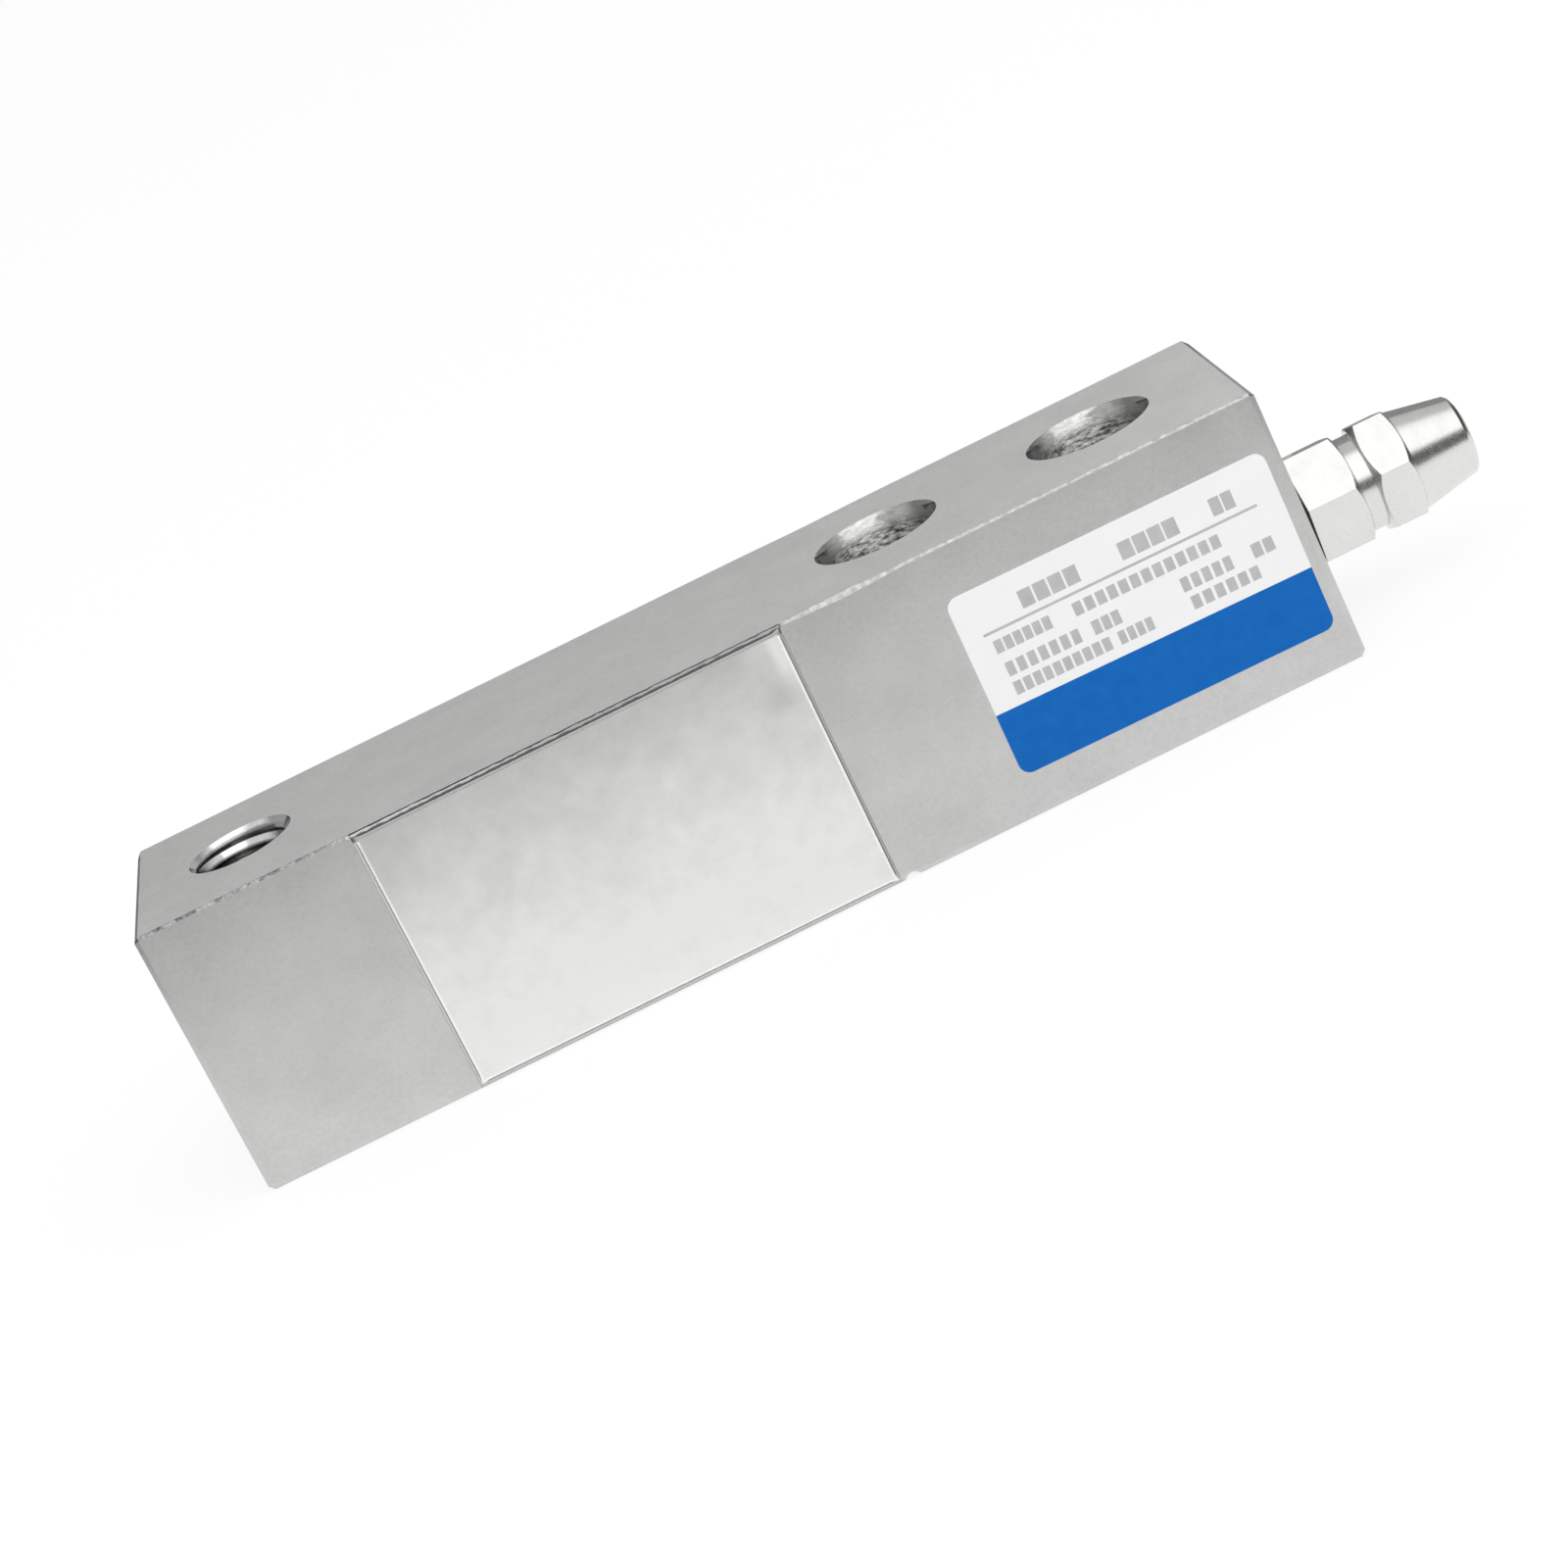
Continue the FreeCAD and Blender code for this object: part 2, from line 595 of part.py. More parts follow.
def make_link_wires():
    """Two jumpers that pass through the web and join the two terminal strips."""
    strip = value("Sizes.strip_from_centre")
    pad_top = value(f"{STRIP_TOP} + Sizes.pad_thickness")
    level = pad_top + value("Sizes.wire_rise")
    high = level + value("Sizes.wire_step")
    up = value("2 * Sizes.pad_pitch")
    hole_up = value("Sizes.link_hole_rise")
    apart = value("Sizes.wire_spacing / 2")
    runs = []
    # on each side the wire that comes from the farther place passes over the other
    for step, front, rear in ((-1, level, high), (1, high, level)):
        across = step * apart
        runs.append([Vector(strip + across, -pad_top, up), Vector(strip + across, -front, up),
                     Vector(across, -front, hole_up), Vector(across, rear, hole_up),
                     Vector(across - strip, rear, up), Vector(across - strip, pad_top, up)])
    add_wires("link_wires", "front", runs)


def make_plug():
    """The socket set screw that closes the wire way."""
    body = new_body("wire_way_plug", GLAND_END_X, WIRE_WAY_Y, "Sizes.gland_height")
    end = new_sketch(body, "plug_end", "YZ_Plane", "0", "0", "-Sizes.plug_depth")
    draw_circle(end, "(Sizes.plug_hole / 2 - Sizes.plug_clearance)")
    sweep_straight(body, "Pad", "plug_barrel", end, "Sizes.plug_depth - Sizes.plug_sunk")
    socket = new_sketch(body, "plug_socket", "YZ_Plane", "0", "0", "-Sizes.plug_sunk")
    draw_hexagon(socket, "Sizes.plug_socket")
    sweep_straight(body, "Pocket", "plug_socket_cut", socket, "Sizes.plug_socket_depth")


def make_hexagon(body, name, start, length, turned_ends):
    """A hexagon with its corners turned off at the named ends, as on bar turned in a lathe."""
    flats = new_sketch(body, f"{name}_outline", "YZ_Plane", "0", "0", start)
    draw_hexagon(flats, "Sizes.gland_across_flats")
    sweep_straight(body, "Pad", f"{name}_bar", flats, length)
    land = "(Sizes.hex_chamfer_land / 2)"
    clear = "(Sizes.gland_across_flats / 2 + Sizes.overrun * 2)"
    run = f"({clear} - {land}) * tan(Sizes.hex_chamfer_angle)"
    corners = {"near": (start, f"{start} + {run}"),
               "far": (f"{start} + {length}", f"{start} + {length} - {run}")}
    for end in turned_ends:
        face, inward = corners[end]
        sweep_round(body, "Groove", f"{name}_{end}_chamfer",
                    [(face, land), (inward, clear), (face, clear)])


def make_gland_body():
    """The gland's body: inlet thread, hexagon, collar and the thread for the nut."""
    body = on_gland("gland_body", "Sizes.gland_clocking")
    hex_start = "Sizes.washer_thickness"
    collar = "Sizes.gland_collar / 2"
    nut_thread_end = f"({NUT_START} + Sizes.nut_thread_length)"
    inlet = "-Sizes.gland_thread_length"
    inlet_r = "(Sizes.gland_thread / 2 - Sizes.gland_thread_clearance)"
    lead = "Sizes.gland_lead_in"
    inside_hex = f"({hex_start} + Sizes.overrun)"
    make_hexagon(body, "gland_hexagon", hex_start, "Sizes.gland_hex_length", ["far"])
    sweep_round(body, "Revolution", "gland_core",
                [(inlet, "0"), (inlet, f"{inlet_r} - {lead}"), (f"{inlet} + {lead}", inlet_r),
                 (inside_hex, inlet_r), (inside_hex, collar), (NUT_START, collar),
                 (NUT_START, NUT_THREAD_R), (nut_thread_end, NUT_THREAD_R),
                 (nut_thread_end, "0")])
    before = f"({inlet} - Sizes.overrun)"
    beyond = f"({nut_thread_end} + Sizes.overrun)"
    bore = "Sizes.gland_bore / 2"
    sweep_round(body, "Groove", "gland_hollow",
                [(before, "0"), (before, bore), (NUT_START, bore), (NUT_START, SEAT_R),
                 (beyond, SEAT_R), (beyond, "0")])


def make_gland_washer():
    """The rubber sealing washer between the end face and the gland's hexagon."""
    body = on_gland("gland_washer")
    inner = "Sizes.gland_thread / 2"
    outer = "Sizes.washer_outer / 2"
    thick = "Sizes.washer_thickness"
    sweep_round(body, "Revolution", "washer_ring",
                [("0", inner), ("0", outer), (thick, outer), (thick, inner)])


def make_gland_nut():
    """The compression nut: a hexagon that runs into a tapered nose."""
    body = on_gland("gland_nut", "Sizes.nut_clocking")
    make_hexagon(body, "nut_hexagon", NUT_START, "Sizes.nut_hex_length", ["near", "far"])
    inside_hex = f"({NUT_START} + Sizes.overrun)"
    root = "Sizes.hex_chamfer_land / 2"
    sweep_round(body, "Revolution", "nut_nose",
                [(inside_hex, "0"), (inside_hex, root), (NUT_HEX_END, root),
                 (f"{NUT_TIP_END} - Sizes.nut_tip_depth", "Sizes.nut_tip / 2"),
                 (f"{NUT_TIP_END} - Sizes.nut_tip_step_depth", "Sizes.nut_tip_step / 2"),
                 (NUT_TIP_END, "Sizes.nut_tip_land / 2"), (NUT_TIP_END, "0")])

    # threaded at the back, then a cone that presses the claw's fingers inwards
    before = f"({NUT_START} - Sizes.overrun)"
    beyond = f"({NUT_TIP_END} + Sizes.overrun)"
    thread = "Sizes.nut_thread / 2"
    thread_end = f"({NUT_START} + Sizes.nut_thread_length + Sizes.nut_thread_relief)"
    hole = "Sizes.cable_hole / 2"
    sweep_round(body, "Groove", "nut_hollow",
                [(before, "0"), (before, thread), (thread_end, thread),
                 (thread_end, "Sizes.nut_inner_mouth / 2"),
                 (f"{NUT_TIP_END} - Sizes.nut_end_wall", hole), (beyond, hole), (beyond, "0")])


def make_gland_claw():
    """The slotted plastic claw that the nut's cone closes round the seal."""
    body = on_gland("gland_claw")
    shoulder = f"({NUT_START} + Sizes.claw_body_length)"
    end = f"({shoulder} + Sizes.claw_finger_length)"
    sweep_round(body, "Revolution", "claw_ring",
                [(NUT_START, CLAW_BORE_R), (NUT_START, CLAW_R), (shoulder, CLAW_R),
                 (end, f"{CLAW_R} - Sizes.claw_taper"), (end, CLAW_BORE_R)])
    slot = new_sketch(body, "claw_slot", "XY_Plane", shoulder)
    half = "Sizes.claw_slot_width / 2"
    reach = "Sizes.claw_finger_length + Sizes.overrun"
    draw_outline(slot, [("0", f"-{half}"), (reach, f"-{half}"), (reach, half), ("0", half)])
    cut = sweep_straight(body, "Pocket", "claw_slot_cut", slot, f"{CLAW_R} + Sizes.overrun",
                         reverse=True)
    slots = repeat(body, "PolarPattern", "claw_slots", [cut], "Axis", "X_Axis")
    slots.Angle = 360.0
    slots.setExpression("Occurrences", "Sizes.claw_slots")
    doc.recompute()


def make_gland_seal():
    """The rubber sleeve that grips the cable, inside the claw."""
    body = on_gland("gland_seal")
    outer = f"({CLAW_BORE_R} - Sizes.seal_clearance)"
    bore = "Sizes.seal_bore / 2"
    lip = "Sizes.seal_lip"
    end = f"({NUT_START} + Sizes.seal_length)"
    sweep_round(body, "Revolution", "seal_sleeve",
                [(NUT_START, bore), (NUT_START, outer), (f"{end} - {lip}", outer),
                 (end, f"{outer} - {lip}"), (end, bore)])


def make_label():
    """The rating label, stuck on a little out of level."""
    body = new_body("rating_label", f"{GLAND_END_X} - Sizes.label_from_end", f"-{HALF_WIDTH}",
                    "Sizes.label_centre_height", Vector(0, 1, 0), "Sizes.label_tilt")
    outline = new_sketch(body, "label_outline", "XZ_Plane")
    draw_rectangle(outline, "Sizes.label_length", "Sizes.label_height")
    sweep_straight(body, "Pad", "label_film", outline, "Sizes.label_thickness")
    dress_edges(body, "Fillet", "label_corners", "Sizes.label_corner", is_depthwise)


make_beam()
for side in ("front", "rear"):
    make_cover(f"{side}_cover", side)
    make_potting(f"{side}_potting", side)
    make_flat_layer(f"{side}_gauge_carrier", side, "0", "Sizes.gauge_length",
                    "Sizes.gauge_height", "Sizes.carrier_thickness")
    make_gauge_foil(f"{side}_gauge_foil", side)
    make_flat_layer(f"{side}_compensation_patch", side, "-Sizes.patch_from_centre",
                    "Sizes.patch_length", "Sizes.patch_height", "Sizes.carrier_thickness")
    make_flat_layer(f"{side}_terminal_strip", side, "Sizes.strip_from_centre",
                    "Sizes.strip_length", "Sizes.strip_height", "Sizes.strip_thickness")
    make_solder_pads(f"{side}_solder_pads", side)
    make_trim_resistor(f"{side}_trim_resistor", side)
    make_bridge_wires(f"{side}_bridge_wires", side)
make_link_wires()
make_plug()
make_gland_body()
make_gland_washer()
make_gland_nut()
make_gland_claw()
make_gland_seal()
make_label()
doc.recompute()

# Nothing is written unless every object is sound
for item in doc.Objects:
    if "Invalid" in item.State or "Error" in item.State:
        raise SystemExit(f"{item.Label} failed: {item.State}")
sub_parts = [item for item in doc.Objects
             if item.TypeId in ("PartDesign::Body", "Part::Feature")]
for item in sub_parts:
    if item.Shape.isNull() or not item.Shape.isValid() or not item.Shape.Solids:
        raise SystemExit(f"{item.Label} has no sound solid")

os.makedirs("parts", exist_ok=True)
for item in sub_parts:
    item.Shape.exportStep(f"parts/{item.Label}.step")
    box = item.Shape.BoundBox
    print(f"{item.Label:26s} solids {len(item.Shape.Solids):2d}  volume {item.Shape.Volume:10.2f}"
          f"  X {box.XMin:7.2f} {box.XMax:7.2f}  Y {box.YMin:7.2f} {box.YMax:7.2f}"
          f"  Z {box.ZMin:6.2f} {box.ZMax:6.2f}")
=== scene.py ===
"""Weighing load cell: a shear beam of bright steel, its side covers, label and cable gland.

Metres. The frame is the CAD model's: +X along the beam to the gland, -Y out of the labelled front.
"""
import math
import bmesh
import bpy
from mathutils import Matrix, Vector, noise


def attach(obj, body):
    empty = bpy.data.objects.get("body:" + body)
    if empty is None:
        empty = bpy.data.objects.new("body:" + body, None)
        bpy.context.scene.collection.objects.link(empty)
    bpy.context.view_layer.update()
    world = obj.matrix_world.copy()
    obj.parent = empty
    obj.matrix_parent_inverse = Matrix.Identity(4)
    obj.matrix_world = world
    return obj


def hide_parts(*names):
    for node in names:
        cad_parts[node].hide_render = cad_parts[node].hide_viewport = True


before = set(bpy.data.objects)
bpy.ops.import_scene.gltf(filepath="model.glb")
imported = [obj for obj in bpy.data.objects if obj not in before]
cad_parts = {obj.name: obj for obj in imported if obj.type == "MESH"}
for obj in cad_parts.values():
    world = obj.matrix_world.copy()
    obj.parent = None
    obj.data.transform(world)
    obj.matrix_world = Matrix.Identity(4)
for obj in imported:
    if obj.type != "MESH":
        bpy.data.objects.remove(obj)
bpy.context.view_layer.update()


# ---------------------------------------------------------------------------------------------
# Camera: a long lens, in front and a little above the beam, rolled so that the beam climbs
# along the picture's diagonal to its gland end.
camera_data = bpy.data.cameras.new("camera")
camera_data.lens = 97.49
camera_data.sensor_width = 36.0
camera_data.clip_start = 0.01
camera_data.clip_end = 50.0
camera = bpy.data.objects.new("camera", camera_data)
bpy.context.scene.collection.objects.link(camera)
standpoint = Matrix.Translation((-0.03293, -0.44161, 0.15133))
right = Vector((0.8978, -0.1326, -0.4200)).normalized()
back = Vector((0.00115, -0.95289, 0.30330)).normalized()
up = back.cross(right).normalized()
camera.matrix_world = standpoint @ Matrix((up.cross(back), up, back)).transposed().to_4x4()
bpy.context.scene.camera = camera
bpy.context.scene.view_settings.view_transform = "Standard"


# ---------------------------------------------------------------------------------------------
# Stage: a wide white floor, a pale room, a large soft box in front and above, and three screens
# that only the metal's shine sees: a low dark one all round, a small grey one behind the gland,
# and a white one far behind the gland's end.
MM = 0.001


def add_node(tree, kind, inputs=None, **settings):
    """A node with its settings, and its sockets set to values or linked to other sockets."""
    node = tree.nodes.new(kind)
    for name, setting in settings.items():
        setattr(node, name, setting)
    for socket, given in (inputs or {}).items():
        if isinstance(given, bpy.types.NodeSocket):
            tree.links.new(given, node.inputs[socket])
        else:
            node.inputs[socket].default_value = given
    return node


def combine(tree, operation, first, second):
    """Two values put together by one sum."""
    return add_node(tree, "ShaderNodeMath", {0: first, 1: second}, operation=operation).outputs[0]


def new_material(name):
    """An empty material of nodes, and its tree."""
    material = bpy.data.materials.new(name)
    material.use_nodes = True
    material.node_tree.nodes.clear()
    return material, material.node_tree


def piece_from(mesh_tool, name, *materials):
    """An object at the origin from a bmesh, with its materials in order."""
    mesh = bpy.data.meshes.new(name)
    mesh_tool.to_mesh(mesh)
    mesh_tool.free()
    piece = bpy.data.objects.new(name, mesh)
    bpy.context.scene.collection.objects.link(piece)
    for material in materials:
        mesh.materials.append(material)
    return piece


world = bpy.data.worlds.new("pale_room")
world.use_nodes = True
world.node_tree.nodes["Background"].inputs["Color"].default_value = (0.73, 0.73, 0.73, 1)
world.node_tree.nodes["Background"].inputs["Strength"].default_value = 1.0
bpy.context.scene.world = world

# the floor shows white to the camera and in the metal, and keeps a faint shadow
floor_paper, tree = new_material("floor_paper")
paths = add_node(tree, "ShaderNodeLightPath").outputs
seen = combine(tree, "MAXIMUM", paths["Is Camera Ray"], paths["Is Glossy Ray"])
seen = combine(tree, "MAXIMUM", seen, paths["Is Transmission Ray"])
share = combine(tree, "MULTIPLY", seen, 0.8)
paper = add_node(tree, "ShaderNodeBsdfDiffuse", {"Color": (0.9, 0.9, 0.9, 1)})
glow = add_node(tree, "ShaderNodeEmission", {"Color": (1, 1, 1, 1), "Strength": 1.05})
mixed = add_node(tree, "ShaderNodeMixShader", {0: share, 1: paper.outputs[0], 2: glow.outputs[0]})
add_node(tree, "ShaderNodeOutputMaterial", {"Surface": mixed.outputs[0]})
bm = bmesh.new()
bmesh.ops.create_grid(bm, x_segments=1, y_segments=1, size=6.0)
bmesh.ops.translate(bm, verts=bm.verts, vec=(0, 0, -0.02 * MM))
piece_from(bm, "floor", floor_paper)

box_data = bpy.data.lights.new("soft_box", "AREA")
box_data.shape = "SQUARE"
box_data.size = 1.3
box_data.energy = 4.6
soft_box = bpy.data.objects.new("soft_box", box_data)
bpy.context.scene.collection.objects.link(soft_box)
aim = Vector((-0.02, 0.0, 0.0))
soft_box.location = (0.25, -0.55, 0.84)
soft_box.rotation_mode = "QUATERNION"
soft_box.rotation_quaternion = (aim - soft_box.location).to_track_quat("-Z", "Y")

UPRIGHT = Matrix.Rotation(math.pi / 2, 3, "X")


def screen_cloth(name, tone):
    """Plain cloth of one grey."""
    material, tree = new_material(name)
    cloth = add_node(tree, "ShaderNodeEmission", {"Color": (tone, tone, tone, 1)})
    add_node(tree, "ShaderNodeOutputMaterial", {"Surface": cloth.outputs[0]})
    return material


def only_in_shine(screen):
    """The camera and the room's light pass through it, and metal still mirrors it."""
    for sight in ("camera", "diffuse", "transmission", "shadow", "volume_scatter"):
        setattr(screen, f"visible_{sight}", False)


def only_verts(parts):
    """The vertices among the parts that an operator made."""
    return [part for part in parts if isinstance(part, bmesh.types.BMVert)]


bm = bmesh.new()
bmesh.ops.create_circle(bm, segments=64, radius=0.17)
raised = bmesh.ops.extrude_edge_only(bm, edges=bm.edges[:])["geom"]
bmesh.ops.translate(bm, verts=only_verts(raised), vec=(0, 0, 0.062))
bmesh.ops.translate(bm, verts=bm.verts, vec=(-0.03, 0, 0.001))
only_in_shine(piece_from(bm, "low_screen", screen_cloth("dark_cloth", 0.08)))
for name, cloth, place, wide, tall in (
        ("gland_screen", screen_cloth("grey_cloth", 0.3), (0.055, 0.03, 0.026), 0.038, 0.050),
        ("end_screen", screen_cloth("white_cloth", 0.95), (0.24, 0.5, 0.22), 0.32, 0.40)):
    bm = bmesh.new()
    bmesh.ops.create_grid(bm, x_segments=1, y_segments=1, size=0.5)
    bmesh.ops.scale(bm, verts=bm.verts, vec=(wide, tall, 1))
    bmesh.ops.rotate(bm, verts=bm.verts, cent=(0, 0, 0), matrix=UPRIGHT)
    bmesh.ops.translate(bm, verts=bm.verts, vec=place)
    only_in_shine(piece_from(bm, name, cloth))


# ---------------------------------------------------------------------------------------------
# The beam: one bar of alloy steel, milled and ground, then nickel plated. Its long edges are
# broken by hand, the load hole is tapped M12 right through, and two plain holes take the bolts.
BEAM_WIDTH = 31.8 * MM
BEAM_HEIGHT = 31.8 * MM
EDGE_BREAK = 0.6 * MM
LOAD_HOLE_X = -88.9 * MM
LOAD_HOLE_MOUTH = 6.2 * MM
BOLT_HOLE_X = 12.7 * MM
BOLT_HOLE_MOUTH = 7.3 * MM
THREAD_PITCH = 1.75 * MM
THREAD_TURNS = 21
TURN_STEPS = 40
STEP_START = -76.9 * MM
STEP_END = -26.3 * MM
FILED_SPOT = -19.5 * MM
NEARLY = 0.01 * MM


def material_start(name):
    """A material on the piece's own coordinates, with its shader ready."""
    material, tree = new_material(name)
    place = add_node(tree, "ShaderNodeTexCoord").outputs["Object"]
    shader = add_node(tree, "ShaderNodeBsdfPrincipled")
    add_node(tree, "ShaderNodeOutputMaterial", {"Surface": shader.outputs[0]})
    return material, tree, place, shader


def blend_colours(tree, factor, first, second):
    """Two colours mixed by a factor; each is a tone or another colour's socket."""
    first, second = ((*tone, 1) if isinstance(tone, tuple) else tone for tone in (first, second))
    # sockets 6 and 7 are the node's two colours, and 2 is the mixed one
    return add_node(tree, "ShaderNodeMix", {"Factor": factor, 6: first, 7: second},
                    data_type="RGBA").outputs[2]


def paint_over(tree, shader, mask, tone):
    """The finish so far, covered by another tone where the mask is strong."""
    so_far = shader.inputs["Base Color"].links[0].from_socket
    tree.links.new(blend_colours(tree, mask, so_far, tone), shader.inputs["Base Color"])


def between(tree, value, low, high, to_low=0.0, to_high=1.0):
    """A value stretched from one range to another, and held inside it."""
    return add_node(tree, "ShaderNodeMapRange", {"Value": value, "From Min": low, "From Max": high,
                    "To Min": to_low, "To Max": to_high}).outputs[0]


def away_from(tree, value, middle):
    """How far a value is from a middle one, on either side."""
    offset = combine(tree, "SUBTRACT", value, middle)
    return add_node(tree, "ShaderNodeMath", {0: offset}, operation="ABSOLUTE").outputs[0]


def parts_of(tree, vector):
    """A vector's three parts: along the beam, across it and up."""
    return add_node(tree, "ShaderNodeSeparateXYZ", {"Vector": vector}).outputs


def speckle(tree, place, size, detail, rough=0.5):
    """Cloudy specks; the larger the size, the finer they are."""
    return add_node(tree, "ShaderNodeTexNoise", {"Vector": place, "Scale": size, "Detail": detail,
                    "Roughness": rough}).outputs["Fac"]


def new_effect(name, inputs, outputs):
    """An empty node group with named float and vector sockets, and its ends."""
    group = bpy.data.node_groups.new(name, "ShaderNodeTree")
    for socket, given in inputs.items():
        kind = "NodeSocketVector" if given is None else "NodeSocketFloat"
        made = group.interface.new_socket(socket, in_out="INPUT", socket_type=kind)
        if given is not None:
            made.default_value = given
    for socket in outputs:
        group.interface.new_socket(socket, in_out="OUTPUT", socket_type="NodeSocketFloat")
    ends = group.nodes.new("NodeGroupInput"), group.nodes.new("NodeGroupOutput")
    return group, ends[0].outputs, ends[1].inputs


# the finish of worked metal: soft clouds, and a fine cross-hatch of two slanted grains
grain, given, result = new_effect("metal_grain", {"Place": None, "Cloud Size": 120.0,
                                  "Grain Size": 2400.0, "Slant": 0.6, "Stretch": 0.85},
                                  ["Clouds", "Grain"])
clouds = speckle(grain, given["Place"], given["Cloud Size"], 4.0, 0.62)
grain.links.new(clouds, result["Clouds"])
slanted = []
for turn in (1.0, -1.0):
    slant = combine(grain, "MULTIPLY", given["Slant"], turn)
    turns = add_node(grain, "ShaderNodeCombineXYZ", {"Y": slant, "Z": slant})
    squeeze = add_node(grain, "ShaderNodeCombineXYZ", {"X": given["Stretch"], "Y": 1.0, "Z": 1.0})
    turned = add_node(grain, "ShaderNodeMapping", {"Vector": given["Place"],
                      "Rotation": turns.outputs[0], "Scale": squeeze.outputs[0]})
    slanted.append(speckle(grain, turned.outputs[0], given["Grain Size"], 3.0, 0.7))
hatch = combine(grain, "ADD", *slanted)
grain.links.new(combine(grain, "MULTIPLY", hatch, 0.5), result["Grain"])

# edges rubbed bright: where the surface bends within the radius, broken up by a noise
wear, given, result = new_effect("edge_wear", {"Place": None, "Radius": 0.3 * MM,
                                 "Breakup": 900.0}, ["Worn"])
rounded = add_node(wear, "ShaderNodeBevel", {"Radius": given["Radius"]}, samples=6)
flat = add_node(wear, "ShaderNodeNewGeometry").outputs["Normal"]
bend = add_node(wear, "ShaderNodeVectorMath", {0: rounded.outputs[0], 1: flat},
                operation="DOT_PRODUCT").outputs["Value"]
breakup = speckle(wear, given["Place"], given["Breakup"], 3.0)
wear.links.new(combine(wear, "MULTIPLY", between(wear, bend, 1.0, 0.9),
                       between(wear, breakup, 0.3, 0.6)), result["Worn"])


def bump(tree, shader, height, strength, distance, radius=None):
    """Small relief on the surface, over edges softened to a radius where one is given."""
    node = add_node(tree, "ShaderNodeBump", {"Height": height, "Strength": strength,
                    "Distance": distance})
    if radius:
        soft = add_node(tree, "ShaderNodeBevel", {"Radius": radius}, samples=6)
        tree.links.new(soft.outputs[0], node.inputs["Normal"])
    tree.links.new(node.outputs[0], shader.inputs["Normal"])


def metal_finish(name, dull, bright, rough, cloud_size, grain_size, worn, relief, softened):
    """Metal with clouds and grain between two colours, rough or smooth, and brighter worn edges."""
    material, tree, place, shader = material_start(name)
    shader.inputs["Metallic"].default_value = 1.0
    marks = add_node(tree, "ShaderNodeGroup", {"Place": place, "Cloud Size": cloud_size,
                     "Grain Size": grain_size}, node_tree=grain).outputs
    rubbed = add_node(tree, "ShaderNodeGroup", {"Place": place, "Radius": worn},
                      node_tree=wear).outputs["Worn"]
    mottle = combine(tree, "ADD", between(tree, marks["Clouds"], 0.3, 0.7, 0.0, 0.4),
                     between(tree, marks["Grain"], 0.35, 0.65, 0.0, 0.6))
    tone = blend_colours(tree, mottle, dull, bright)
    tone = blend_colours(tree, combine(tree, "MULTIPLY", rubbed, 0.3), tone, (0.86, 0.86, 0.84))
    tree.links.new(tone, shader.inputs["Base Color"])
    tree.links.new(between(tree, marks["Grain"], 0.3, 0.7, *rough), shader.inputs["Roughness"])
    bump(tree, shader, marks["Grain"], relief, 0.02 * MM, softened)
    return material, tree, place, shader


beam_steel = metal_finish("beam_steel", (0.56, 0.56, 0.555), (0.73, 0.73, 0.72), (0.30, 0.42),
                          cloud_size=140.0, grain_size=2000.0, worn=0.25 * MM, relief=0.5,
                          softened=0.1 * MM)[0]

# the broken edges are hatched dark and bright, and pitted towards the load end
edge_steel, tree, place, shader = metal_finish(
    "broken_edge", (0.26, 0.26, 0.26), (0.76, 0.76, 0.75), (0.35, 0.5), cloud_size=1200.0,
    grain_size=1700.0, worn=0.1 * MM, relief=1.0, softened=0.25 * MM)
along = parts_of(tree, place)["X"]
pits = between(tree, speckle(tree, place, 1300.0, 4.0, 0.7), 0.42, 0.62, 0.15, 0.85)
paint_over(tree, shader, combine(tree, "MULTIPLY", between(tree, along, -60 * MM, -85 * MM), pits),
     (0.08, 0.08, 0.08))

# the thread is darker on its crests and at the countersink's foot, and has painted shade at both
# ends
thread_steel, tree, place, shader = metal_finish(
    "tapped_steel", (0.60, 0.60, 0.59), (0.86, 0.86, 0.84), (0.12, 0.24), cloud_size=260.0,
    grain_size=1500.0, worn=0.05 * MM, relief=0.15, softened=0.12 * MM)
from_hole = add_node(tree, "ShaderNodeVectorMath", {0: place, 1: (LOAD_HOLE_X, 0, 0)},
                     operation="SUBTRACT").outputs[0]
level_part = add_node(tree, "ShaderNodeVectorMath", {0: from_hole, 1: (1, 1, 0)},
                      operation="MULTIPLY").outputs[0]
radius = add_node(tree, "ShaderNodeVectorMath", {0: level_part},
                  operation="LENGTH").outputs["Value"]
along, _, height = parts_of(tree, from_hole)
crest = between(tree, radius, 5.22 * MM, 5.14 * MM)
foot = combine(tree, "MULTIPLY", between(tree, away_from(tree, height, BEAM_HEIGHT / 2),
                                         14.7 * MM, 14.9 * MM),
               between(tree, radius, 5.7 * MM, 5.5 * MM))
# painted shade towards both ends of the hole along the beam
ends = between(tree, away_from(tree, along, -0.6 * MM), 3.2 * MM, 4.3 * MM, 0.0, 0.85)
dark = combine(tree, "MAXIMUM", crest, combine(tree, "MAXIMUM", foot, ends))
paint_over(tree, shader, dark, (0.30, 0.30, 0.30))
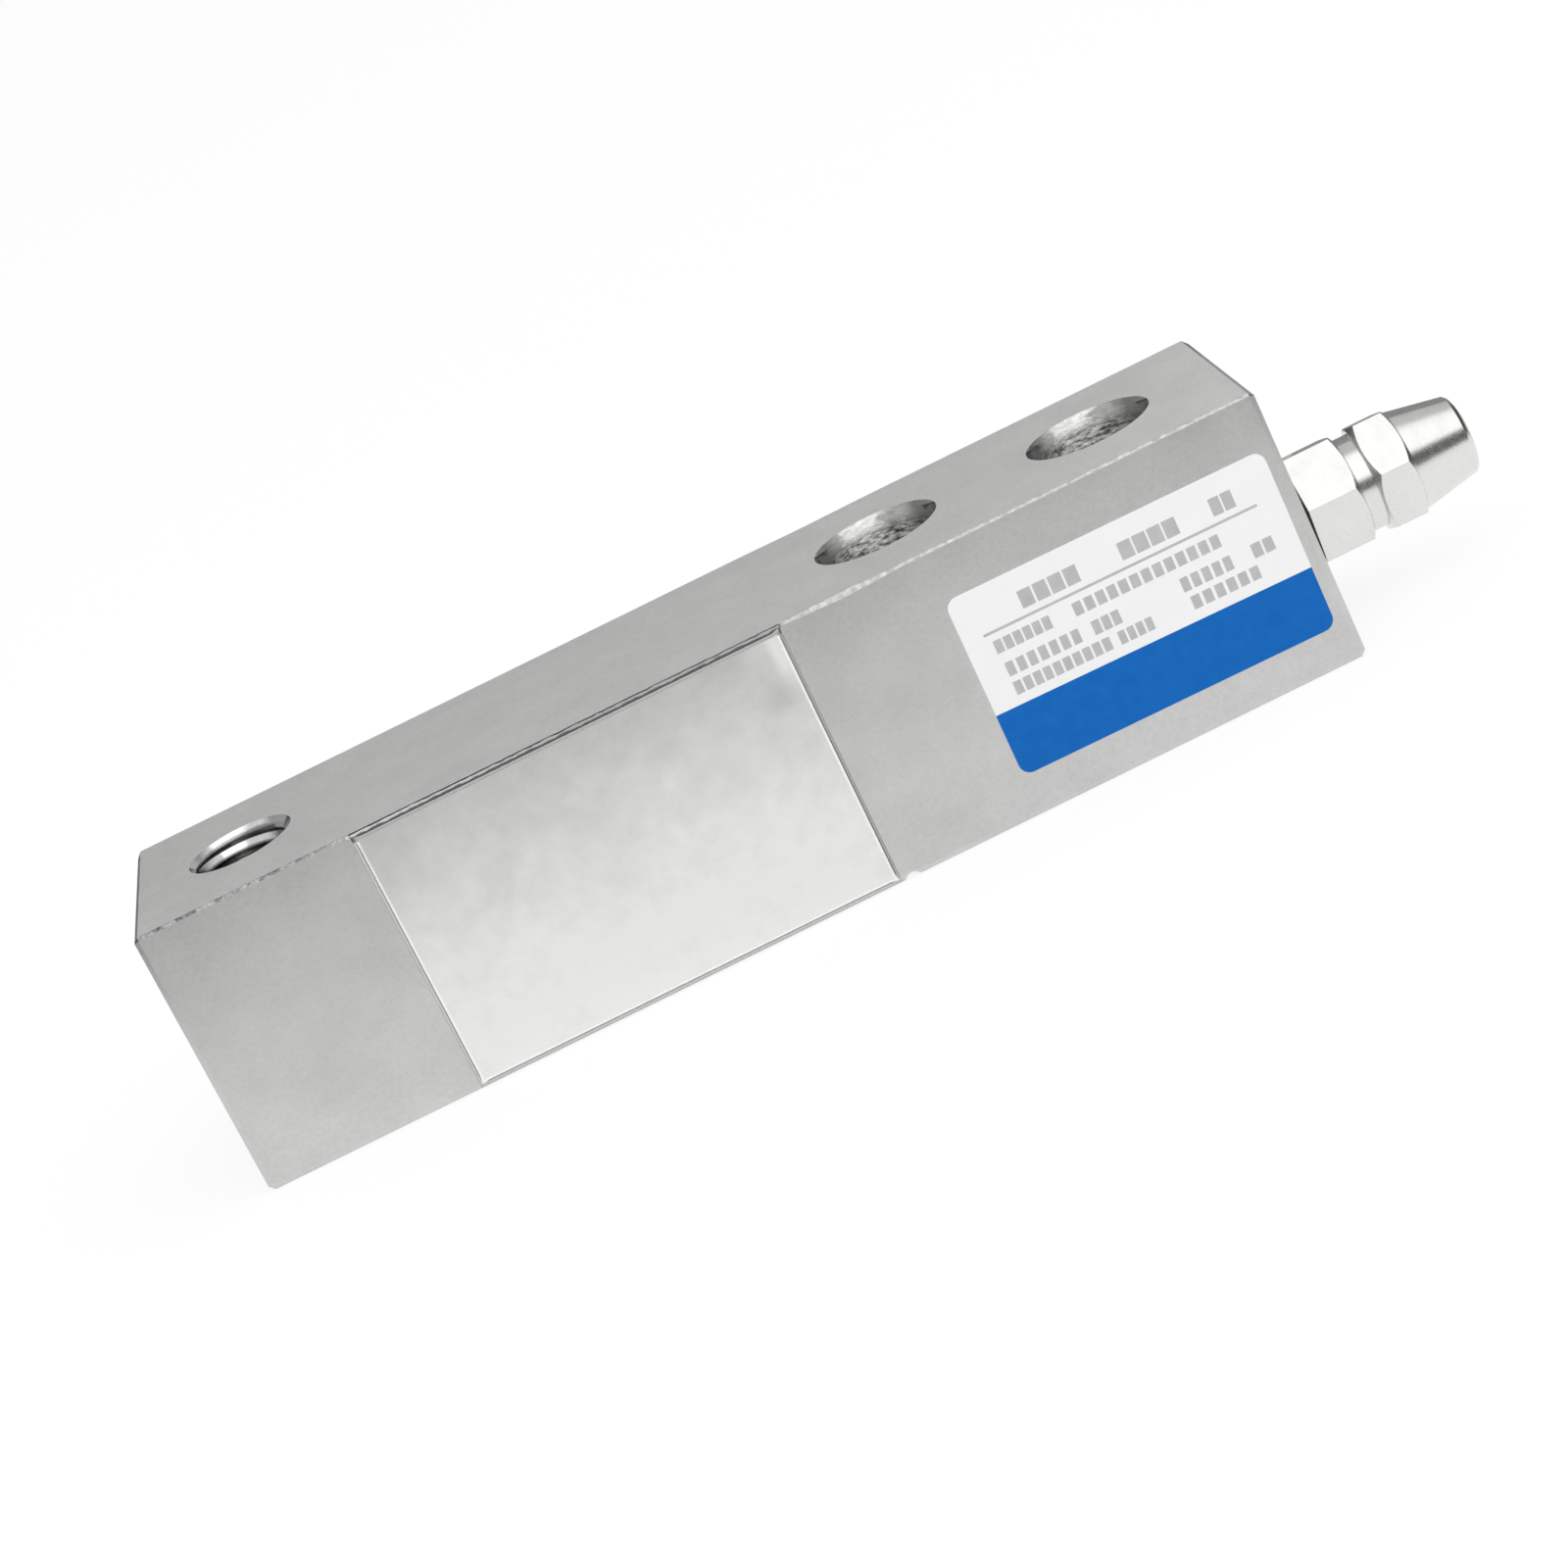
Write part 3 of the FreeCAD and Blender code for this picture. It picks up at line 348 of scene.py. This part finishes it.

# the bolt holes are rubbed bright just inside each mouth; below that they bear the drill's tears
# and are painted darker with depth, and they are painted darker towards their two ends: painted
# shade
bore_steel, tree, place, shader = material_start("drilled_steel")
shader.inputs["Metallic"].default_value = 1.0
along, _, height = parts_of(tree, place)
depth = combine(tree, "SUBTRACT", BEAM_HEIGHT / 2, away_from(tree, height, BEAM_HEIGHT / 2))
rings = add_node(tree, "ShaderNodeMapping", {"Vector": place, "Scale": (1.0, 1.0, 3.0)})
tears = speckle(tree, rings.outputs[0], 900.0, 3.0, 0.7)
ragged = combine(tree, "ADD", depth, between(tree, tears, 0.3, 0.7, -0.5 * MM, 0.5 * MM))
# painted shade, darker deeper in the hole, in specks like the drill's tears
deep_shade_and_tears = between(tree, ragged, 0.9 * MM, 1.9 * MM)
speckled_shade_tone = blend_colours(tree, between(tree, tears, 0.38, 0.62), (0.08, 0.08, 0.08),
                          (0.62, 0.62, 0.60))
rubbed_tone = blend_colours(tree, between(tree, tears, 0.3, 0.7), (0.38, 0.38, 0.37),
                            (0.66, 0.66, 0.64))
tree.links.new(blend_colours(tree, deep_shade_and_tears, rubbed_tone, speckled_shade_tone), shader.inputs["Base Color"])
from_axis = away_from(tree, away_from(tree, along, 0.0), BOLT_HOLE_X)
# painted shade towards both ends of each hole along the beam
paint_over(tree, shader, between(tree, from_axis, 3.6 * MM, 5.4 * MM, 0.0, 0.75), (0.12, 0.12, 0.12))
tree.links.new(between(tree, deep_shade_and_tears, 0.0, 1.0, 0.18, 0.45), shader.inputs["Roughness"])
bump(tree, shader, combine(tree, "MULTIPLY", deep_shade_and_tears, tears), 0.8, 0.05 * MM)


def merged_copy(node):
    """The CAD node's mesh as a bmesh, its loose triangles joined."""
    made = bmesh.new()
    made.from_mesh(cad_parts[node].data)
    bmesh.ops.remove_doubles(made, verts=made.verts, dist=0.0005 * MM)
    return made


def cut_across(bm, place, facing, **kept):
    """The whole mesh cut along a plane, and kept on both sides unless told otherwise."""
    bmesh.ops.bisect_plane(bm, geom=bm.verts[:] + bm.edges[:] + bm.faces[:], plane_co=place,
                           plane_no=facing, **kept)


def boolean_cut(piece, cutter):
    """The piece with the cutter's room taken out of its mesh for good."""
    cut = piece.modifiers.new("cut", "BOOLEAN")
    cut.object = cutter
    cut.operation = "DIFFERENCE"
    cut.solver = "EXACT"
    bpy.context.view_layer.update()
    ready = piece.evaluated_get(bpy.context.evaluated_depsgraph_get())
    made = bpy.data.meshes.new_from_object(ready)
    piece.modifiers.remove(cut)
    old = piece.data
    piece.data = made
    bpy.data.meshes.remove(old)
    bpy.data.objects.remove(cutter)


def fade(distance, reach):
    """One at no distance, falling smoothly to nothing at the reach."""
    share = min(1.0, abs(distance) / reach)
    return (1 - share * share) ** 2


# the thread's groove: one tooth, by its radii and heights in mm, wound from below the hole to
# above it
TOOTH = ((4.9, -4.21), (5.72, -3.39), (5.72, -3.29), (4.9, -2.47))
bm = bmesh.new()
corners = [bm.verts.new((LOAD_HOLE_X + out * MM, 0, level * MM)) for out, level in TOOTH]
loop = [bm.edges.new((corners[i - 1], corners[i])) for i in (1, 2, 3, 0)]
spun = bmesh.ops.spin(bm, geom=corners + loop, cent=(LOAD_HOLE_X, 0, 0), axis=(0, 0, 1),
                      dvec=(0, 0, THREAD_PITCH / TURN_STEPS), angle=THREAD_TURNS * math.tau,
                      steps=THREAD_TURNS * TURN_STEPS)
last_loop = [part for part in spun["geom_last"] if isinstance(part, bmesh.types.BMEdge)]
bmesh.ops.contextual_create(bm, geom=loop)
bmesh.ops.contextual_create(bm, geom=last_loop)
bmesh.ops.recalc_face_normals(bm, faces=bm.faces)
thread_cutter = piece_from(bm, "thread_cutter")

# beside the covers the long top edges are broken only half as wide, and filed wider at one spot,
# where the mesh is cut every 2 mm
filed_cuts = [(2 * i - 24.5) * MM for i in range(8)]
bm = merged_copy("beam_body")
for part in (STEP_START, STEP_END, *filed_cuts):
    cut_across(bm, (part, 0, 0), (1, 0, 0))
for vert in bm.verts:
    inward = BEAM_WIDTH / 2 - abs(vert.co.y)
    downward = BEAM_HEIGHT - vert.co.z
    beside = not STEP_START + NEARLY < vert.co.x < STEP_END - NEARLY
    on_edge = min(inward, downward) > -NEARLY and abs(inward + downward - EDGE_BREAK) < NEARLY
    if beside and on_edge:
        kept = 0.5 + 0.45 * fade(vert.co.x - FILED_SPOT, 8 * MM)
        vert.co.y = math.copysign(BEAM_WIDTH / 2 - kept * inward, vert.co.y)
        vert.co.z = BEAM_HEIGHT - kept * downward
beam = piece_from(bm, "beam", beam_steel, edge_steel, bore_steel, thread_steel)
boolean_cut(beam, thread_cutter)
beam.data.set_sharp_from_angle(angle=math.radians(30))
for face in beam.data.polygons:
    middle, facing = face.center, face.normal
    upright = abs(facing.z) < 0.95
    slanting = max(abs(part) for part in facing) < 0.99
    beside = not STEP_START + NEARLY < middle.x < STEP_END - NEARLY
    by_top_edge = abs(middle.y) > 15 * MM and middle.z > 30.9 * MM
    face.use_smooth = False
    if upright and math.hypot(middle.x - LOAD_HOLE_X, middle.y) < LOAD_HOLE_MOUTH:
        face.material_index = 3
        face.use_smooth = True
    elif upright and math.hypot(abs(middle.x) - BOLT_HOLE_X, middle.y) < BOLT_HOLE_MOUTH:
        face.material_index = 2
        face.use_smooth = True
    elif slanting and by_top_edge and beside:
        face.material_index = 1
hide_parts("beam_body")
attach(beam, "root")


# ---------------------------------------------------------------------------------------------
# The side covers: thin stainless sheets set into milled steps over the gauge pockets, both
# painted darker towards their tops, the front one more: a painted shade. The front one's top
# corner by the label was pried out a little, and has a painted highlight by it.
COVER_MIDDLE = Vector((-51.6, 0, 15.9)) * MM
COVER_HALF = Vector((24.6, 0, 15.3)) * MM
COVER_FACE = 16.0 * MM
COVER_DEPTH = 0.5 * MM
COVER_CORNER = 0.8 * MM
COVER_CELL = 0.6 * MM
RIM_ROUND = 0.36 * MM
RIM_LOW = 30.6 * MM
RIM_HIGH = 30.9 * MM
# a cover's two half sizes, and the ways they run while it lies flat
WAYS = ((COVER_HALF.x, Vector((1, 0, 0))), (COVER_HALF.z, Vector((0, 1, 0))))


def flat_sheet(brim):
    """A flat sheet of the cover's size and a brim all round, before it is stood upright."""
    bm = bmesh.new()
    size = 2 * (COVER_HALF + Vector((brim, 0, brim)))
    bmesh.ops.create_grid(bm, x_segments=1, y_segments=1, size=0.5)
    bmesh.ops.scale(bm, verts=bm.verts, vec=(size.x, size.z, 1))
    return bm


def cover_sheet(side):
    """A sheet with rounded corners and a rolled rim; side is -1 at the front and 1 at the rear."""
    bm = flat_sheet(0.0)
    for half, across in WAYS:
        steps = [half - COVER_CORNER * part / 2 for part in (1, 2)]
        steps += [-step for step in steps]
        inner = int((half - COVER_CORNER) / COVER_CELL)
        steps += [(half - COVER_CORNER) * part / inner for part in range(-inner + 1, inner)]
        for step in steps:
            cut_across(bm, across * step, across)
    for vert in bm.verts:
        corner = Vector((max(0, abs(vert.co.x) - COVER_HALF.x + COVER_CORNER),
                         max(0, abs(vert.co.y) - COVER_HALF.z + COVER_CORNER)))
        if min(corner) > 0:
            pull = max(corner) / corner.length
            vert.co.x += math.copysign(corner.x * (pull - 1), vert.co.x)
            vert.co.y += math.copysign(corner.y * (pull - 1), vert.co.y)
    rim = [edge for edge in bm.edges if edge.is_boundary]
    extruded = bmesh.ops.extrude_edge_only(bm, edges=rim)["geom"]
    bmesh.ops.translate(bm, verts=only_verts(extruded), vec=(0, 0, -COVER_DEPTH))
    bmesh.ops.bevel(bm, geom=rim, offset=RIM_ROUND, segments=4, profile=0.5, affect="EDGES",
                    clamp_overlap=True, material=-1)
    bmesh.ops.holes_fill(bm, edges=[edge for edge in bm.edges if edge.is_boundary])
    bmesh.ops.recalc_face_normals(bm, faces=bm.faces)
    bmesh.ops.rotate(bm, verts=bm.verts, cent=(0, 0, 0), matrix=UPRIGHT)
    if side > 0:
        bmesh.ops.rotate(bm, verts=bm.verts, cent=(0, 0, 0),
                         matrix=Matrix.Rotation(math.pi, 3, "Z"))
    bmesh.ops.translate(bm, verts=bm.verts, vec=COVER_MIDDLE + Vector((0, side * COVER_FACE, 0)))
    return bm


def cover_finish(name, top_shade, glint_strength):
    """Stainless sheet in clouds; painted shade at its top, a painted highlight by the lifted
    corner.
    """
    material, tree, place, shader = material_start(name)
    shader.inputs["Metallic"].default_value = 1.0
    marks = add_node(tree, "ShaderNodeGroup", {"Place": place, "Cloud Size": 150.0,
                     "Grain Size": 2600.0}, node_tree=grain).outputs
    blots = add_node(tree, "ShaderNodeGroup", {"Place": place, "Cloud Size": 420.0,
                     "Grain Size": 5200.0}, node_tree=grain).outputs
    along, _, level = parts_of(tree, place)
    # painted shade: darker towards the top
    cloud = combine(tree, "ADD", between(tree, level, 9 * MM, 29 * MM, 0.0, top_shade),
                    between(tree, marks["Clouds"], 0.25, 0.75, -0.16, 0.16))
    cloud = combine(tree, "ADD", cloud, between(tree, blots["Clouds"], 0.3, 0.7, -0.12, 0.12))
    tree.links.new(blend_colours(tree, cloud, (0.90, 0.90, 0.89), (0.62, 0.62, 0.615)),
                   shader.inputs["Base Color"])
    # painted highlight along the lifted corner's edge
    painted_glint_mask = combine(tree, "MULTIPLY", between(tree, along, -29.1 * MM, -28.2 * MM, 0.0, glint_strength),
                      between(tree, level, 24.0 * MM, 27.5 * MM))
    paint_over(tree, shader, painted_glint_mask, (0.94, 0.94, 0.93))
    tree.links.new(between(tree, marks["Grain"], 0.3, 0.7, 0.28, 0.36), shader.inputs["Roughness"])
    bump(tree, shader, marks["Grain"], 0.25, 0.02 * MM)
    return material


# the rolled rim is smoother and painted lighter, partly a painted highlight; along the top it is
# duller and painted darker, a painted shade
rim_steel, tree, place, shader = material_start("cover_rim_steel")
shader.inputs["Metallic"].default_value = 1.0
marks = add_node(tree, "ShaderNodeGroup", {"Place": place, "Cloud Size": 900.0,
                 "Grain Size": 4000.0}, node_tree=grain).outputs
top = between(tree, parts_of(tree, place)["Z"], RIM_LOW, RIM_HIGH)
tree.links.new(between(tree, top, 0.0, 1.0, 0.22, 0.7), shader.inputs["Roughness"])
# painted shade along the top, over a rim painted light as a painted highlight
rim_shade_and_clouds = combine(tree, "ADD", top, between(tree, marks["Clouds"], 0.35, 0.75, 0.0, 0.25))
tree.links.new(blend_colours(tree, rim_shade_and_clouds, (0.97, 0.97, 0.96), (0.62, 0.62, 0.61)),
               shader.inputs["Base Color"])
bump(tree, shader, marks["Clouds"], 0.3, 0.03 * MM)

front_cover = piece_from(cover_sheet(-1), "front_cover_sheet",
                         cover_finish("front_cover_steel", top_shade=0.6, glint_strength=1.0), rim_steel)
for vert in front_cover.data.vertices:
    from_right = COVER_MIDDLE.x + COVER_HALF.x - vert.co.x
    from_top = COVER_MIDDLE.z + COVER_HALF.z - vert.co.z
    lift = fade(from_right, 1.6 * MM) * fade(from_top, 8.0 * MM)
    dent = fade(from_right - 2.6 * MM, 3.0 * MM) * fade(from_top - 4.0 * MM, 5.0 * MM)
    vert.co.y += (-0.12 * lift + 0.16 * dent) * MM
rear_cover = piece_from(cover_sheet(1), "rear_cover_sheet",
                        cover_finish("rear_cover_steel", top_shade=0.3, glint_strength=0.0), rim_steel)
for sheet, node in ((front_cover, "front_cover"), (rear_cover, "rear_cover")):
    for face in sheet.data.polygons:
        by_side = abs(face.center.x - COVER_MIDDLE.x) > COVER_HALF.x - 0.38 * MM
        by_top = abs(face.center.z - COVER_MIDDLE.z) > COVER_HALF.z - 0.4 * MM
        face.material_index = int(by_side or by_top)
    sheet.data.shade_smooth()
    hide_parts(node)
    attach(sheet, "root")


# ---------------------------------------------------------------------------------------------
# The sealing bead: silicone that was pressed out round each cover when it was set in its step,
# wiped off by hand and so a little uneven. It is painted paler towards its bottom and the load end,
# painted light, and painted dark along the top, a painted shade of the gap above the cover.
BEAD_WIDTH = 0.31 * MM
BEAD_DEPTH = 0.3 * MM
BEAD_FACE = 15.87 * MM
BEAD_CELL = 0.35 * MM
bead_silicone, tree, place, shader = material_start("bead_silicone")
lumps = speckle(tree, place, 900.0, 4.0)
along, _, level = parts_of(tree, place)
ragged = combine(tree, "ADD", level, between(tree, lumps, 0.35, 0.65, -0.08 * MM, 0.08 * MM))
# painted shade of the gap above the cover, along the bead's top
painted_gap_shade = combine(tree, "MULTIPLY", between(tree, level, RIM_LOW, RIM_HIGH),
                between(tree, ragged, 31.46 * MM, 31.36 * MM))
# painted light, paler towards the bottom and the load end
painted_light_mask = combine(tree, "MAXIMUM", between(tree, level, 1.5 * MM, 0.5 * MM),
                between(tree, along, -50 * MM, -70 * MM))
tree.links.new(blend_colours(tree, painted_light_mask, (0.42, 0.42, 0.415), (0.62, 0.62, 0.615)),
               shader.inputs["Base Color"])
paint_over(tree, shader, painted_gap_shade, (0.12, 0.12, 0.12))
shader.inputs["Roughness"].default_value = 0.5
bump(tree, shader, lumps, 0.6, 0.05 * MM)
for name, side in (("front_bead", -1), ("rear_bead", 1)):
    bm = flat_sheet(BEAD_WIDTH)
    for half, across in WAYS:
        count = int(half / BEAD_CELL)
        for step in [half * part / count for part in range(1 - count, count)] + [-half, half]:
            cut_across(bm, across * step, across)
    inside = [face for face in bm.faces if abs(face.calc_center_median().x) < COVER_HALF.x
              and abs(face.calc_center_median().y) < COVER_HALF.z]
    bmesh.ops.delete(bm, geom=inside, context="FACES")
    bmesh.ops.solidify(bm, geom=bm.faces[:], thickness=BEAD_DEPTH)
    bmesh.ops.recalc_face_normals(bm, faces=bm.faces)
    for vert in bm.verts:
        swell = noise.noise(vert.co * 1300.0)
        vert.co.z += swell * 0.03 * MM
        if vert.co.y > COVER_HALF.z + 0.1 * MM:
            vert.co.y += (0.1 + swell * 0.12) * MM
    bmesh.ops.rotate(bm, verts=bm.verts, cent=(0, 0, 0),
                     matrix=Matrix.Rotation(math.pi / 2 * -side, 3, "X"))
    bmesh.ops.translate(bm, verts=bm.verts, vec=COVER_MIDDLE + Vector((0, side * BEAD_FACE, 0)))
    bead = piece_from(bm, name, bead_silicone)
    bead.data.shade_smooth()
    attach(bead, "root")


# ---------------------------------------------------------------------------------------------
# The rating label: a white film with a printed blue band, a rule line and bare bars, stuck on
# the front under the mounting holes and a little askew.
LABEL_MIDDLE = Vector((8.2, -16.05, 15.3)) * MM
LABEL_TILT = Matrix.Rotation(math.radians(0.45), 3, "Y")
BAND_TOP = -3.3 * MM
BAND_DEPTH = 0.05 * MM
BAND_RISE = 0.012 * MM


def dress(node, material):
    """The CAD piece stays, in a material of its own."""
    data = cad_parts[node].data
    data.materials.clear()
    data.materials.append(material)


label_film, tree, place, shader = material_start("label_film")
weave = speckle(tree, place, 300.0, 3.0)
tree.links.new(blend_colours(tree, weave, (0.92, 0.92, 0.92), (0.97, 0.97, 0.97)),
               shader.inputs["Base Color"])
shader.inputs["Roughness"].default_value = 0.45
bump(tree, shader, weave, 0.1, 0.02 * MM)
dress("rating_label", label_film)


def ink(name, light, dark):
    """Matt print on the label, a little uneven."""
    material, tree, place, shader = material_start(name)
    shader.inputs["Specular IOR Level"].default_value = 0.05
    shader.inputs["Roughness"].default_value = 0.4
    patches = speckle(tree, place, 700.0, 4.0)
    tree.links.new(blend_colours(tree, patches, light, dark), shader.inputs["Base Color"])
    bump(tree, shader, patches, 0.1, 0.02 * MM)
    return material


bm = merged_copy("rating_label")
for middle, facing in ((Vector((0, BAND_DEPTH, 0)), Vector((0, 1, 0))),
                       (Vector((0, 0, BAND_TOP)), Vector((0.007, 0, 1)))):
    cut_across(bm, LABEL_MIDDLE + LABEL_TILT @ middle, LABEL_TILT @ facing, clear_outer=True)
bmesh.ops.translate(bm, verts=bm.verts, vec=(0, -BAND_RISE, 0))
band = piece_from(bm, "label_band", ink("blue_ink", (0.008, 0.125, 0.47), (0.012, 0.165, 0.56)))

# rows of small bars, in mm from the label's middle: each row's left and right end, foot and
# head, and the width of one bar; the last row is the rule line, in one piece
BAR_ROWS = ((-11.2, -4.2, 6.2, 8.2, 1.5), (0.4, 7.3, 6.2, 8.2, 1.5), (11.0, 13.8, 6.2, 8.2, 1.2),
            (-15.6, -8.9, 2.9, 4.4, 0.9), (-6.5, 10.8, 2.9, 4.4, 1.0),
            (-15.5, -6.6, 0.1, 1.7, 0.9), (-5.4, -2.0, 0.1, 1.7, 0.9), (4.9, 11.1, 0.1, 1.7, 0.9),
            (13.2, 15.9, 0.1, 1.7, 1.1), (-15.5, -4.0, -2.1, -0.6, 0.9),
            (-3.3, 0.9, -2.1, -0.6, 0.8), (5.2, 13.4, -2.1, -0.6, 1.0),
            (-16.1, 15.7, 5.2, 5.5, 31.8))
BAR_GAP = 0.3
BAR_DEPTH = 0.02
bm = bmesh.new()
for left, end, foot, head, wide in BAR_ROWS:
    count = max(1, round((end - left) / (wide + BAR_GAP)))
    step = (end - left) / count
    for nth in range(count):
        bar = bmesh.ops.create_cube(bm, size=1.0)["verts"]
        size = Vector((min(wide, step), BAR_DEPTH, head - foot))
        bmesh.ops.scale(bm, verts=bar, vec=size * MM)
        middle = Vector((left + (nth + 0.5) * step, 0, (foot + head) / 2))
        bmesh.ops.translate(bm, verts=bar, vec=middle * MM)
bmesh.ops.rotate(bm, verts=bm.verts, cent=(0, 0, 0), matrix=LABEL_TILT)
bmesh.ops.translate(bm, verts=bm.verts, vec=LABEL_MIDDLE)
bars = piece_from(bm, "label_bars", ink("grey_ink", (0.46, 0.46, 0.46), (0.60, 0.60, 0.60)))
for printed in (band, bars):
    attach(printed, "root")


# ---------------------------------------------------------------------------------------------
# The cable gland: a nickel plated brass body on a rubber washer, and its compression nut with
# the nylon claw and the rubber seal inside. The sides that face up have painted shade in flecks,
# which tones down their highlight.
gland_metal, tree, place, shader = metal_finish(
    "gland_nickel", (0.73, 0.725, 0.705), (0.84, 0.835, 0.82), (0.20, 0.30), cloud_size=200.0,
    grain_size=3000.0, worn=0.25 * MM, relief=0.2, softened=0.12 * MM)
facing = add_node(tree, "ShaderNodeNewGeometry").outputs["Normal"]
flecks = speckle(tree, place, 500.0, 5.0)
# painted shade on the sides that face up, in flecks
painted_upward_shade = combine(tree, "MULTIPLY", between(tree, parts_of(tree, facing)["Z"], 0.2, 0.5),
               between(tree, flecks, 0.3, 0.7, 0.6, 1.0))
paint_over(tree, shader, painted_upward_shade, (0.615, 0.61, 0.59))
dress("gland_body", gland_metal)
dress("gland_nut", gland_metal)


def soft_finish(name, dark, light, rough, speck):
    """Rubber, resin or plastic: two tones in fine specks, with a slight relief."""
    material, tree, place, shader = material_start(name)
    specks = speckle(tree, place, speck, 5.0)
    tree.links.new(blend_colours(tree, specks, dark, light), shader.inputs["Base Color"])
    tree.links.new(between(tree, specks, 0.3, 0.7, rough - 0.08, rough + 0.08),
                   shader.inputs["Roughness"])
    bump(tree, shader, specks, 0.3, 0.03 * MM)
    return material


dress("gland_washer", soft_finish("washer_rubber", (0.03, 0.03, 0.03), (0.07, 0.07, 0.07),
                                  rough=0.6, speck=1800.0))
dress("gland_claw", soft_finish("claw_nylon", (0.09, 0.09, 0.09), (0.15, 0.15, 0.15),
                                rough=0.5, speck=1200.0))
dress("gland_seal", soft_finish("seal_rubber", (0.05, 0.05, 0.05), (0.10, 0.10, 0.10),
                                rough=0.65, speck=1500.0))


# ---------------------------------------------------------------------------------------------
# Inside the gauge pockets: the poured silicone, the gauges on their film, the nickel patches,
# terminal strips, trimming resistors and wires; and the set screw that plugs the wire way.
INSIDE = {
    "potting": soft_finish("potting_silicone", (0.16, 0.16, 0.17), (0.24, 0.24, 0.25),
                           rough=0.45, speck=500.0),
    "gauge_carrier": soft_finish("gauge_film", (0.55, 0.32, 0.09), (0.68, 0.44, 0.15),
                                 rough=0.4, speck=900.0),
    "terminal_strip": soft_finish("terminal_board", (0.12, 0.28, 0.16), (0.20, 0.40, 0.24),
                                  rough=0.5, speck=2500.0),
    "trim_resistor": soft_finish("resistor_winding", (0.34, 0.15, 0.06), (0.50, 0.25, 0.10),
                                 rough=0.35, speck=3000.0),
    "bridge_wires": soft_finish("wire_enamel", (0.52, 0.16, 0.05), (0.70, 0.27, 0.10),
                                rough=0.3, speck=2000.0),
    "gauge_foil": metal_finish("gauge_foil", (0.68, 0.50, 0.34), (0.86, 0.69, 0.50), (0.3, 0.45),
                               cloud_size=400.0, grain_size=3000.0, worn=0.1 * MM, relief=0.2,
                               softened=0.05 * MM)[0],
    "compensation_patch": metal_finish("nickel_patch", (0.60, 0.58, 0.52), (0.75, 0.73, 0.67),
                                       (0.3, 0.45), cloud_size=400.0, grain_size=3000.0,
                                       worn=0.1 * MM, relief=0.2, softened=0.05 * MM)[0],
    "solder_pads": metal_finish("solder", (0.62, 0.62, 0.62), (0.86, 0.86, 0.86), (0.2, 0.4),
                                cloud_size=900.0, grain_size=3000.0, worn=0.1 * MM, relief=0.3,
                                softened=0.1 * MM)[0],
}
for kind, material in INSIDE.items():
    for side in ("front", "rear"):
        dress(f"{side}_{kind}", material)
dress("link_wires", INSIDE["bridge_wires"])
dress("wire_way_plug", metal_finish("black_steel", (0.10, 0.10, 0.10), (0.20, 0.20, 0.20),
                                    (0.35, 0.5), cloud_size=500.0, grain_size=2500.0,
                                    worn=0.2 * MM, relief=0.3, softened=0.1 * MM)[0])
